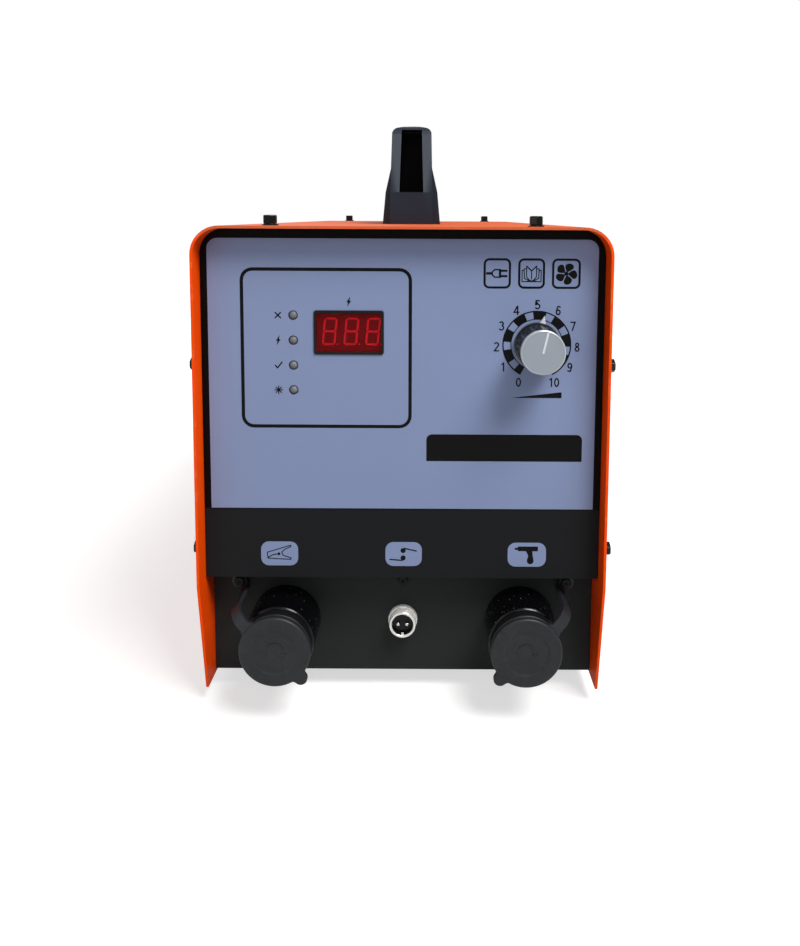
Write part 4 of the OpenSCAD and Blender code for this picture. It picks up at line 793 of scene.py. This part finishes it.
plug_body = [(-3.2, -0.9), (-1.6, -2.5), (2.2, -2.5), (2.2, 2.5), (-1.6, 2.5), (-3.2, 0.9)]
plug_lead, plug_face = stroke((-6.2, 0), (-3.0, 0), 1.4), stroke((1.2, -2.3), (1.2, 2.3), 0.6)
plug_pins = [stroke((2.1, z), (5.7, z), 1.2) for z in (-1.5, 1.5)]
icon("plug_sign", 45.1, 60.4, [plug_lead, (plug_body, 0.8), plug_face] + plug_pins)

PAGES = ([(2.8, 4.0), (2.75, -1.8), (1.3, -3.6), (0, -4.2)],
         [(3.0, 2.6), (4.2, 2.6), (4.0, -2.7), (1.3, -3.9)],
         [(4.4, 1.8), (5.3, 1.8), (5.3, -4.5), (2.4, -4.5)])
PAGE_LINE = 0.55
book = [stroke((0, 1.5), (0, -3.3), PAGE_LINE), stroke((-2.8, -4.4), (2.8, -4.4), 0.75)]
for side in (-1, 1):
    book.append(stroke((0, 1.5), (side * 2.9, 4.3), 0.7))
    book += [pen([(side * x, z) for x, z in page], PAGE_LINE) for page in PAGES]
icon("book_sign", 64.4, 79.4, book)

petals = [petal(math.tau * i / PETALS - FAN_TURN) for i in range(PETALS)]
icon("fan_sign", 83.3, 99.3, petals + [arc(0, 0, HUB_R, 0, 345, 23)])
print("three icons,", len(book), "strokes in the book")

# %% [markdown]
# ## The dial's scale
# A ring of dark and pale blocks runs round the knob, with plain numbers outside it. A text object gives
# the shapes of its font. These numbers have round, even strokes, so each is drawn with a few pen strokes.


# %% Draw the ring and its blocks
def centre_of(node):
    """Where a solid's middle lies on the front."""
    low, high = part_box(node)
    return (low.x + high.x) / 2, (low.z + high.z) / 2


dial = centre_of("pot_shaft")
RING_IN, RING_OUT, SWEEP, ARC_STEP, LEAST_STEPS = 14.3, 19.4, 152.0, 4.0, 4
TILE_IN, TILE_OUT, TILE_STEP, TILE, TILE_START = 14.8, 18.6, 38.5, 15.0, -15.0


def sector(inner, outer, start, end):
    """Part of a ring about the dial, with angles clockwise from the top."""
    steps = max(LEAST_STEPS, round((end - start) / ARC_STEP))
    rim = arc(0, 0, outer, 90 - start, 90 - end, steps)
    return around(dial, rim + arc(0, 0, inner, 90 - end, 90 - start, steps))


inked("scale_ring", [sector(RING_IN, RING_OUT, -SWEEP, SWEEP)])
tile_turns = [TILE_START + TILE_STEP * i for i in range(-3, 5)]
tiles = [sector(TILE_IN, TILE_OUT, turn - TILE / 2, turn + TILE / 2) for turn in tile_turns]
inked("scale_tiles", tiles, "film", ink_front - SECOND_COAT * MM)
print(len(tiles), "pale blocks")

# %% Write the numbers
PEN = 0.15
six = [(oval(0, -0.18, 0.27, 0.32), PEN),
       pen(arc(0.1, -0.12, 0.31, 180, 150, 4) + arc(0.03, 0.2, 0.24, 118, 32, 6), PEN)]
GLYPHS = {
    "0": [(oval(0, 0, 0.28, 0.5), PEN)],
    "1": [pen([(0.06, -0.5), (0.06, 0.5)], PEN), pen([(-0.17, 0.24), (0.06, 0.46)], PEN * 0.9)],
    "2": [pen(arc(0, 0.22, 0.22, 165, -30, 9) + [(-0.22, -0.44), (0.28, -0.44)], PEN)],
    "3": [pen(arc(0, 0.235, 0.2, 155, -75, 9), PEN), pen(arc(0, -0.2, 0.24, 80, -155, 10), PEN)],
    "4": [pen([(0.1, 0.5), (-0.25, -0.2), (0.3, -0.2)], PEN), pen([(0.12, 0.5), (0.12, -0.5)], PEN)],
    "5": [pen([(0.24, 0.44), (-0.15, 0.44), (-0.19, 0.02)] + arc(0, -0.17, 0.25, 125, -155, 11), PEN)],
    "6": six,
    "7": [pen([(-0.27, 0.44), (0.23, 0.44), (-0.07, -0.5)], PEN)],
    "8": [(oval(0, 0.245, 0.225, 0.255), PEN), (oval(0, -0.215, 0.27, 0.285), PEN)],
    "9": [([(-x, -z) for x, z in six[0][0]], PEN), [(-x, -z) for x, z in six[1]]],
}
FIGURE_H, FIGURE_STEP, FIGURE_R, END_OUT, FIGURE_TURN = 5.2, 0.62, 22.7, 0.9, 31
figures = []
for number in range(11):
    angle = math.radians((number - 5) * FIGURE_TURN)
    reach = FIGURE_R + END_OUT * (number in (0, 10))
    written = str(number)
    for i, glyph in enumerate(written):
        shift = (i - (len(written) - 1) / 2) * FIGURE_STEP * FIGURE_H
        right, up = reach * math.sin(angle) + shift, reach * math.cos(angle)
        figures += placed((dial[0] + right * MM, dial[1] + up * MM), GLYPHS[glyph], FIGURE_H)
inked("scale_numbers", figures)
wedge = [(-14.5, -30.4), (14.5, -30.4), (14.5, -27.0)]
inked("level_wedge", [around(dial, wedge)])
print(len(figures), "strokes in the numbers")

# %% [markdown]
# ## Signs beside the lamps and the display
# Each lamp has a plain sign: a cross, a bolt, a tick and a spark. A bolt over the window says volts.

# %% Draw the lamp signs
SIGN_LEFT, SIGN_LINE, SPARK_R, SPARK_LINE, VOLT_UP = 8.5, 0.75, 2.4, 0.6, 5.0
LAMPS = 4
lamps_low, lamps_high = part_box("indicator_leds")
lamp_x, lamp_wide = (lamps_low.x + lamps_high.x) / 2, lamps_high.x - lamps_low.x
lamp_pitch = (lamps_high.z - lamps_low.z - lamp_wide) / (LAMPS - 1)
lamp_zs = [lamps_high.z - lamp_wide / 2 - lamp_pitch * i for i in range(LAMPS)]
bolt = [(-1.3, -0.4), (0.9, 3.0), (0.5, 0.5), (1.4, 0.5), (-0.9, -3.0), (-0.3, -0.4)]
cross = [stroke((-1.7, way * -1.7), (1.7, way * 1.7), SIGN_LINE) for way in (1, -1)]
tick = [stroke((-1.9, 0.1), (-0.4, -1.7), SIGN_LINE), stroke((-0.6, -1.7), (2.2, 1.9), SIGN_LINE)]
rays = [Vector((math.cos(a), math.sin(a))) * SPARK_R for a in (math.pi / 4 * i for i in range(4))]
spark = [stroke(-ray, ray, SPARK_LINE) for ray in rays]
SIGNS = {"fault_sign": cross, "charge_sign": [bolt], "ready_sign": tick, "weld_sign": spark}
for (name, shapes), z in zip(SIGNS.items(), lamp_zs):
    inked(name, placed((lamp_x - SIGN_LEFT * MM, z), shapes))
window = centre_of("display_bezel")
volt_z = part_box("display_bezel")[1].z + VOLT_UP * MM
inked("volt_sign", [around((window[0], volt_z), bolt)])
print("lamps", round(lamp_pitch / MM, 2), "mm apart")

# %% [markdown]
# ## The display's digits
# Three seven-segment digits lie behind a clear red filter. A digit is seven bars with mitred ends and a
# dot, leaning a little. It is drawn once, and each place gets its own plates.

# %% Model the digits
DIGIT_W, DIGIT_H, BAR, BAR_GAP, SLANT = 6.6, 14.6, 1.15, 0.2, 0.1
DIGIT_PLACES, DIGIT_UP, DOT_R, DOT_RIGHT, DIGIT_OUT, DIGIT_T = (-10.9, 1.3, 13.5), 0.4, 0.55, 1.9, 0.05, 0.1
digit_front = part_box("display_module")[0].y - DIGIT_OUT * MM


def bar(along, x, z, length):
    """A segment with pointed ends, level or upright, about its middle."""
    half, tip = length / 2 - BAR_GAP, BAR / 2
    points = [(-half, 0), (-half + tip, -tip), (half - tip, -tip),
              (half, 0), (half - tip, tip), (-half + tip, tip)]
    if along == "up":
        points = [(-rise, run) for run, rise in points]
    return [(run + x, rise + z) for run, rise in points]


half_w, half_h = DIGIT_W / 2, DIGIT_H / 2
segments = [bar("level", 0, z, DIGIT_W) for z in (-half_h, 0, half_h)]
segments += [bar("up", x, z, half_h) for x in (-half_w, half_w) for z in (-half_h / 2, half_h / 2)]
segments += [arc(half_w + DOT_RIGHT, -half_h, DOT_R, 0, 330, 11)]
digits = []
for place in DIGIT_PLACES:
    centre = (window[0] + place * MM, window[1] + DIGIT_UP * MM)
    for segment in segments:
        leaning = [(x + SLANT * z, z) for x, z in segment]
        digits.append(plate("digit", around(centre, leaning), digit_front, DIGIT_T * MM))
print(len(digits), "segments and dots")
settle(joined("digit_segments", digits), "lit_segment")

# %% [markdown]
# ## Label pads on the band
# Three pale pads name the sockets below them by pictures: a clamp, a pair of contacts and a weld gun.

# %% Set the pads and their pictures
PAD_TOP, PAD_BOTTOM, PAD_R, PAD_OUT = 181.6, 195.9, 4.6, 0.12
pad_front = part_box("front_fascia")[0].y - PAD_OUT * MM
clamp = [([(-7.4, 0.9), (6.6, 5.3), (6.8, 4.0), (3.2, 2.3), (1.5, 0.7), (2.2, -0.9), (6.8, -2.4),
           (6.7, -3.8), (-7.0, -3.1)], 0.55),
         stroke((-6.6, -2.3), (-3.9, -0.8), 0.6), stroke((-4.1, -0.8), (-0.6, -0.2), 0.6),
         arc(-0.4, -0.2, 0.85, 0, 330, 11)]
contacts = [arc(-0.3, 2.1, 1.5, 0, 345, 23), arc(-0.3, -2.3, 1.5, 0, 345, 23),
            stroke((0.2, 3.5), (7.5, 1.8), 0.75), stroke((-8.2, -3.2), (-0.6, -3.8), 0.75)]
gun_grip = ([(-0.6, 2.3), (0.3, 0.6), (0.8, -0.9), (0.1, -3.3)] + arc(2.05, -3.7, 1.95, 170, 370, 10)
            + [(3.4, -0.4), (3.2, 2.3)])
gun = [rounded(-5.2, 2.1, 6.4, 4.9, 0.5), rounded(-7.0, 2.9, -5.0, 4.1, 0.4), gun_grip]
PADS = (("clamp", -81.3, -59.9, clamp), ("contact", -9.6, 11.4, contacts), ("gun", 60.9, 83.0, gun))
for name, left, right, shapes in PADS:
    inked(name + "_pad", [box_at(left, PAD_TOP, right, PAD_BOTTOM, PAD_R)], "film", pad_front)
    centre = at((left + right) / 2, (PAD_TOP + PAD_BOTTOM) / 2)
    inked(name + "_sign", placed(centre, shapes), front=pad_front - SECOND_COAT * MM)
print(len(PADS), "label pads")

# %% [markdown]
# ## The knob's face
# A satin disc with a bright bevelled rim closes the knob, and a white line runs from its middle to its
# edge. The disc is turned from a profile, and the line is a plate let into the face.


# %% Turn the knob's disc and rim
def axis_at(node, depth):
    """The point at a depth on the line that runs through a solid's middle, front to back."""
    x, z = centre_of(node)
    return Vector((x, depth, z))


KNOB_TURN, LINE_W, LINE_TAIL, LINE_SUNK, LINE_T = math.radians(13), 1.05, 0.4, 0.05, 0.2
cap_low, cap_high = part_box("knob_cap")
knob_axis = axis_at("knob_cap", cap_high.y)
knob_r, knob_t = (cap_high.x - cap_low.x) / 2 / MM, (cap_high.y - cap_low.y) / MM
rim = [(knob_r - 0.15, 0.0), (knob_r, 0.15), (knob_r, knob_t - 0.5), (knob_r - 0.5, knob_t),
       (knob_r - 0.65, knob_t), (knob_r - 0.7, knob_t - 0.15), (knob_r - 0.7, 0.0)]
settle(turned("knob_rim", rim + rim[:1], knob_axis), "knob_rim", "knob", ("knob_cap",))
face = [(0, knob_t - 0.1), (knob_r - 0.75, knob_t - 0.1), (knob_r - 0.68, knob_t - 0.2),
        (knob_r - 0.68, 0.2), (0, 0.2)]
settle(turned("knob_face", face, knob_axis), "knob_face", "knob")
tip = Vector((math.sin(KNOB_TURN), math.cos(KNOB_TURN)))
line = stroke(tip * -LINE_TAIL, tip * (knob_r - 0.75), LINE_W)
line_outline, line_front = around((knob_axis.x, knob_axis.z), line), cap_low.y + LINE_SUNK * MM
knob_line = plate("knob_line", line_outline, line_front, LINE_T * MM)
settle(knob_line, "white_mark", "knob")
print("knob's disc", round(2 * knob_r, 1), "mm across")

# %% [markdown]
# ## Caps and straps
# Each weld socket has a soft cap: a disc with a shallow recess and a raised turning arrow, a groove behind
# its rim and a pull tab. A strap leaves the rim flat, bends back and is screwed to the panel. The strap is
# one soft band, shaped from the cap's rim to the panel in one piece instead of being cut at the hinge, and
# it rides on neither body.

# %% Draw the cap, its tab and its arrow
CAP_R, CAP_BACK, CAP_FRONT, SKIRT_BACK, SKIRT_IN, RIM_R = 20.0, 31.3, 35.9, 26.3, 18.0, 1.3
cap_profile = [(0, CAP_FRONT - 0.9), (11.6, CAP_FRONT - 0.9), (12.3, CAP_FRONT - 0.75),
               (13.2, CAP_FRONT - 0.12), (13.6, CAP_FRONT), (CAP_R - RIM_R, CAP_FRONT)]
cap_profile += arc(CAP_R - RIM_R, CAP_FRONT - RIM_R, RIM_R, 75, 0, 6)
GROOVE = ((0.0, 2.2), (0.25, 2.6), (1.5, 2.9), (1.6, 3.7), (0.5, 4.1), (0.2, 4.5))
cap_profile += [(CAP_R - inwards, CAP_FRONT - back) for inwards, back in GROOVE]
cap_profile += [(CAP_R - 0.2, SKIRT_BACK + 0.4), (CAP_R - 0.6, SKIRT_BACK), (SKIRT_IN + 0.3, SKIRT_BACK),
                (SKIRT_IN, SKIRT_BACK + 0.3), (SKIRT_IN, CAP_BACK), (0, CAP_BACK)]

TAB_W, TAB_REACH, TAB_FILLET, TAB_ROOT, TAB_BITE = 7.5, 4.6, 2.6, 15.2, 0.5
TAB_TURN, TAB_T, TAB_BEHIND, TAB_EDGE = math.radians(46), 1.9, 0.35, 0.5
fillet_z = -TAB_W / 2 - TAB_FILLET
fillet_x = math.sqrt((CAP_R + TAB_FILLET - TAB_BITE) ** 2 - fillet_z ** 2)
half_tab = [(TAB_ROOT, fillet_z)] + arc(fillet_x, fillet_z, TAB_FILLET, 165, 90, 6)
tab_tip = arc(CAP_R + TAB_REACH - TAB_W / 2, 0, TAB_W / 2, -90, 90, 12)
tab_outline = half_tab + tab_tip + [(x, -z) for x, z in reversed(half_tab)]

ARROW_R, ARROW_W, ARROW_START, ARROW_END, HEAD_HALF, HEAD_LONG = 4.8, 0.9, 205, -10, 1.5, 2.6
ARROW_BEHIND, ARROW_T = 0.55, 0.6
end_turn = math.radians(ARROW_END)
arrow_end = Vector((math.cos(end_turn), math.sin(end_turn)))
arrow_way = Vector((math.sin(end_turn), -math.cos(end_turn)))
arrow_head = (arrow_end * (ARROW_R + HEAD_HALF), arrow_end * ARROW_R + arrow_way * HEAD_LONG,
              arrow_end * (ARROW_R - HEAD_HALF))
arrow = [pen(arc(0, 0, ARROW_R, ARROW_START, ARROW_END, 20), ARROW_W), [tuple(p) for p in arrow_head]]
print("cap's profile of", len(cap_profile), "points, tab of", len(tab_outline))

# %% Follow the strap
STRAP_TURN = math.radians(41)
HINGE_R, HINGE_S, ANCHOR_R, STRAP_T, STRAP_W = 31.0, 25.3, 36.5, 1.8, 6.5
STRAP_ROOT, LUG, BEND, FOOT = 17.0, CAP_FRONT - 2.0, 10.0, 4.0
FLARE_L, FLARE_W, EYE_R, EYE_LEAST = 6.5, 4.2, 4.6, 0.05
STRAP_ROWS, STRAP_COLUMNS, STRAP_EDGE = 90, 6, 0.35
STRAP_RUNS = (HINGE_R - BEND - STRAP_ROOT, BEND * math.pi / 2, LUG - BEND - FOOT - STRAP_T / 2,
              FOOT * math.pi / 2, ANCHOR_R + EYE_R - HINGE_R - FOOT)


def strap_path(u):
    """Radius from the socket's axis, height off the panel and half width, for u from 0 to 1."""
    run, leg = u * sum(STRAP_RUNS), 0
    while leg < len(STRAP_RUNS) - 1 and run >= STRAP_RUNS[leg]:
        run -= STRAP_RUNS[leg]
        leg += 1
    half = STRAP_W / 2
    if leg == 0:
        flare = max(0.0, 1 - run / FLARE_L)
        return STRAP_ROOT + run, LUG, half + FLARE_W * flare ** 2
    if leg == 1:
        a = run / BEND
        return HINGE_R - BEND + BEND * math.sin(a), LUG - BEND + BEND * math.cos(a), half
    if leg == 2:
        return HINGE_R, LUG - BEND - run, half
    if leg == 3:
        a = run / FOOT
        return HINGE_R + FOOT - FOOT * math.cos(a), FOOT + STRAP_T / 2 - FOOT * math.sin(a), half
    radius = HINGE_R + FOOT + run
    off = radius - ANCHOR_R
    eye = math.sqrt(max(EYE_LEAST, EYE_R ** 2 - off ** 2))
    return radius, STRAP_T / 2, max(half if off < 0 else 0.0, eye)


def band(name, socket, side):
    """A flat grid laid along the strap's path, then made thick."""
    pick(None)
    bpy.ops.mesh.primitive_grid_add(x_subdivisions=STRAP_ROWS, y_subdivisions=STRAP_COLUMNS, size=2)
    piece = bpy.context.object
    piece.name = piece.data.name = name
    out = Vector((side * math.cos(STRAP_TURN), 0, math.sin(STRAP_TURN)))
    across = Vector((-side * math.sin(STRAP_TURN), 0, math.cos(STRAP_TURN)))
    for vertex in piece.data.vertices:
        radius, rise, half = strap_path((vertex.co.x + 1) / 2)
        aside = (out * radius + across * half * vertex.co.y) * MM
        vertex.co = socket + aside + Vector((0, -rise * MM, 0))
    mode("EDIT")
    closed_up(piece)
    modified(piece, "SOLIDIFY", thickness=STRAP_T * MM, offset=0)
    modified(piece, "BEVEL", width=STRAP_EDGE * MM, segments=2, limit_method="ANGLE")
    return piece


print("strap", round(sum(STRAP_RUNS), 1), "mm long")

# %% Turn the caps and bend the straps
BLEND_BACK, BLEND_AHEAD, CAP_STEPS = 9 * MM, 6 * MM, 128
panel_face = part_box("connector_panel")[0].y
for hand, side in (("left", -1), ("right", 1)):
    socket = axis_at(hand + "_socket_body", panel_face)
    middle = (socket.x, socket.z)
    cap = turned(hand + "_cap_disc", cap_profile, socket, CAP_STEPS)
    turn = -TAB_TURN if side < 0 else math.pi + TAB_TURN
    swung = [(x * math.cos(turn) - z * math.sin(turn), x * math.sin(turn) + z * math.cos(turn))
             for x, z in tab_outline]
    tab = plate("tab", around(middle, swung), socket.y - (CAP_FRONT - TAB_BEHIND) * MM, TAB_T * MM)
    modified(tab, "BEVEL", width=TAB_EDGE * MM, segments=EDGE_STEPS, limit_method="ANGLE")
    arrow_front = socket.y - (CAP_FRONT - ARROW_BEHIND) * MM
    relief = [plate("arrow", around(middle, shape), arrow_front, ARROW_T * MM) for shape in arrow]
    settle(joined(hand + "_cap_disc", [cap, tab] + relief), "cap_rubber", hand + "_cap", (hand + "_cap",))
    strap = band(hand + "_strap_band", socket, side)
    settle(strap, "strap_rubber", stands_for=(hand + "_cap_strap",), rides=False)
    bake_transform(strap)
    print(hand, "cap and strap made")

# %% [markdown]
# ## The control socket's thread
# A bright metal shell with a fine thread holds a black insert with two pins. The shell is turned, and the
# thread is a small ridge carried round by a Screw modifier. A dark sleeve in the bore is painted shade: it
# stands in for the shade inside the bore and keeps the bore from shining.

# %% Wind a thread
RIDGE_CREST, RIDGE_END, STEPS_A_TURN = 0.45, 0.9, 64


def thread(name, axis, root, crest, start, pitch, turns, ahead=-1):
    """A ridge wound about an axis along the depth, to the front or to the rear."""
    profile = [(root, start), (crest, start + pitch * RIDGE_CREST), (root, start + pitch * RIDGE_END)]
    piece = pulled(name, [(r * MM, ahead * s * MM, 0) for r, s in profile])
    mode("OBJECT")
    steps = STEPS_A_TURN * turns
    modified(piece, "SCREW", axis="Y", angle=math.tau * turns, screw_offset=ahead * pitch * turns * MM,
             steps=steps, render_steps=steps, use_merge_vertices=False)
    mode("EDIT")
    bpy.ops.mesh.select_all(action="SELECT")
    bpy.ops.transform.translate(value=axis)
    return closed_up(piece)


# %% Turn the shell and cut its thread
FLANGE_R, FLANGE_T, NOSE_R, NOSE_END, BORE_R, TAIL_R, TAIL_END = 8.8, 2.0, 7.8, 8.0, 6.4, 7.6, -9.0
shell_axis = axis_at("control_socket_shell", panel_face)
shell = [(BORE_R, TAIL_END), (TAIL_R, TAIL_END), (TAIL_R, 0), (FLANGE_R - 0.3, 0), (FLANGE_R, 0.3),
         (FLANGE_R, FLANGE_T - 0.5), (FLANGE_R - 0.3, FLANGE_T), (NOSE_R, FLANGE_T),
         (NOSE_R, NOSE_END - 0.3), (NOSE_R - 0.25, NOSE_END), (BORE_R + 0.3, NOSE_END),
         (BORE_R, NOSE_END - 0.3)]
shell_piece = turned("socket_shell", shell + shell[:1], shell_axis)
THREAD_ROOT, THREAD_CREST, THREAD_PITCH, THREAD_TURNS = 7.7, 8.0, 1.0, 4
shell_thread = thread("shell_thread", shell_axis, THREAD_ROOT, THREAD_CREST, FLANGE_T + 0.3, THREAD_PITCH,
                      THREAD_TURNS)
KEY_HALF_W, KEY_HALF_H, KEY_R, KEY_L, KEY_BEHIND = 0.8, 0.7, 0.3, 1.2, 0.4
key_middle = (shell_axis.x, shell_axis.z - (BORE_R - 0.4) * MM)
key_outline = around(key_middle, rounded(-KEY_HALF_W, -KEY_HALF_H, KEY_HALF_W, KEY_HALF_H, KEY_R))
key = plate("shell_key", key_outline, shell_axis.y - (NOSE_END - KEY_BEHIND) * MM, KEY_L * MM)
shell_parts = [shell_piece, shell_thread, key]
settle(joined("socket_shell", shell_parts), "nickel", stands_for=("control_socket_shell",))
print("shell's thread of", THREAD_TURNS, "turns")

# %% Line the bore with painted shade
shade_sleeve_out, shade_sleeve_in, shade_sleeve_end = BORE_R - 0.02, BORE_R - 0.35, NOSE_END - 0.6
shade_sleeve_back = (panel_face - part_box("control_socket_insert")[0].y) / MM - 0.2
shade_sleeve = [(shade_sleeve_out, shade_sleeve_back), (shade_sleeve_out, shade_sleeve_end), (shade_sleeve_in, NOSE_END - 0.7), (shade_sleeve_in, shade_sleeve_back)]
# The sleeve is painted shade: a thin black tube over the bore's metal wall, where shade falls.
settle(turned("bore_shade_sleeve", shade_sleeve + shade_sleeve[:1], shell_axis), "trim_black")
print("shade_sleeve", round(shade_sleeve_end - shade_sleeve_back, 2), "mm deep")

# %% [markdown]
# ## The rear: switch marks and earth stud
# A rocker carries a line on its upper half and a ring on its lower half, which say on and off anywhere.
# The two halves are flat but tilted, so each mark is drawn flat and then turned onto its half.

# %% Mark the rocker and thread the stud
ROCKER_TILT, HALF_TILT, HALF_MID, HALF_RISE, PIVOT = 10.0, 7.95, 4.3, 2.8, 0.4
MARK_HALF, MARK_W, MARK_R, MARK_LINE = 1.9 * MM, 0.5 * MM, 0.2 * MM, 0.8 * MM
MARK_OUT, MARK_T = 0.05 * MM, 0.1 * MM
rear_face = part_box("rear_panel")[1].y
switch_x, switch_z = centre_of("switch_housing")
lean_cos, lean_sin = math.cos(math.radians(ROCKER_TILT)), math.sin(math.radians(ROCKER_TILT))
on_line = rounded(-MARK_W, -MARK_HALF, MARK_W, MARK_HALF, MARK_R)
off_ring = oval(0, 0, MARK_HALF, MARK_HALF)
for name, half, outline, line in (("on_mark", 1, on_line, 0.0), ("off_mark", -1, off_ring, MARK_LINE)):
    mark = plate(name, outline, -MARK_OUT, MARK_T, line)
    mark.rotation_euler = (math.radians(ROCKER_TILT + half * HALF_TILT), 0, math.pi)
    back = half * HALF_MID * lean_sin + HALF_RISE * lean_cos + PIVOT
    up = half * HALF_MID * lean_cos - HALF_RISE * lean_sin
    mark.location = (switch_x, rear_face + back * MM, switch_z + up * MM)
    settle(mark, "white_mark", "rocker")
STUD_R, STUD_PITCH, STUD_TURNS, STUD_START = 3.0, 1.0, 13, 5.6
stud_thread = thread("stud_thread", axis_at("earth_terminal", rear_face), STUD_R - 0.1, STUD_R + 0.25,
                     STUD_START, STUD_PITCH, STUD_TURNS, 1)
settle(stud_thread, "zinc")
print("rear marked, stud's thread of", STUD_TURNS, "turns")

# %% [markdown]
# ## Floor and light
# The photograph is a cut-out on white. A pale floor keeps a soft shadow, and the world shows white to the
# camera while it lights the object only gently. The key lamp stands to the upper right, so the hood's left
# wall is bright, its right wall is dim and its top shades the overlay. A small window lamp gleams on the
# handle's leaning legs, and a back lamp keeps the rear readable.

# %% Lay the floor and hang the sky
AMBIENT, GLEAM = 0.12, 0.4
FLOOR_SIDE, FLOOR_NEAR, FLOOR_FAR, FLOOR_LEAST = 12.0, 0.3, 0.8, 0.62
WHITE, MID_GREY = (1, 1, 1, 1), (0.5, 0.5, 0.5, 1)


def white_seen(shade, ambient):
    """White for the camera and through glass, dimmer in a reflection, and ambient for all other light."""
    seen, through, glossy = (shade.node("ShaderNodeLightPath", {}, {}, "Is " + kind + " Ray")
                             for kind in ("Camera", "Transmission", "Glossy"))
    return ambient + (seen + through) * (1 - ambient) + glossy * (GLEAM - ambient)


pick(None)
bpy.ops.mesh.primitive_plane_add(size=FLOOR_SIDE)
floor = bpy.context.object
floor.name = "floor"
floor_finish = bpy.data.materials.new("studio_floor")
floor_finish.use_nodes = True
floor_sockets = floor_finish.node_tree.nodes["Principled BSDF"].inputs
FLOOR_LOOK = {"Base Color": MID_GREY, "Roughness": 0.9, "Specular IOR Level": 0.1, "Emission Color": WHITE}
for key, value in FLOOR_LOOK.items():
    floor_sockets[key].default_value = value
floor_shade = Shade(floor_finish.node_tree)
floor_place = floor_shade.node("ShaderNodeTexCoord", {}, {}, "Object")
away = floor_shade.node("ShaderNodeVectorMath", {"operation": "LENGTH"}, {0: floor_place}, "Value")
far = floor_shade.ramp(away, FLOOR_NEAR, FLOOR_FAR, FLOOR_LEAST)
floor_shade.fill(floor_sockets["Emission Strength"], white_seen(floor_shade, 0.0) * far)
floor.data.materials.append(floor_finish)

world = bpy.data.worlds.new("studio")
world.use_nodes = True
bpy.context.scene.world = world
sky = Shade(world.node_tree)
background = world.node_tree.nodes["Background"]
background.inputs["Color"].default_value = WHITE
sky.fill(background.inputs["Strength"], white_seen(sky, AMBIENT))
print("floor", FLOOR_SIDE, "m wide, sky at", AMBIENT)


# %% Light the studio
def lamp(name, place, target, side, power, tint):
    """A square soft box that faces a point."""
    pick(None)
    bpy.ops.object.light_add(type="AREA", location=place)
    made = bpy.context.object
    made.name = name
    made.rotation_euler = (Vector(target) - Vector(place)).to_track_quat("-Z", "Y").to_euler()
    made.data.size = side
    made.data.energy = power
    made.data.color = tint
    print(name, "lamp of", power, "W")


lamp("key", (0.8, -0.98, 1.85), (0, -0.1, 0.15), 0.85, 52, (1.0, 0.99, 0.97))
lamp("fill", (-1.4, -1.5, 0.7), (0, 0, 0.15), 1.2, 4, (1.0, 0.94, 0.86))
lamp("window", (0.0, -2.1, 1.4), (0, -0.1, 0.3), 0.7, 5, (0.84, 0.91, 1.0))
lamp("back", (-0.7, 1.6, 1.2), (0, 0.1, 0.15), 1.2, 11, (1.0, 1.0, 1.0))

# %% [markdown]
# ## Clear the selection

# %% Clear the selection
pick(None)
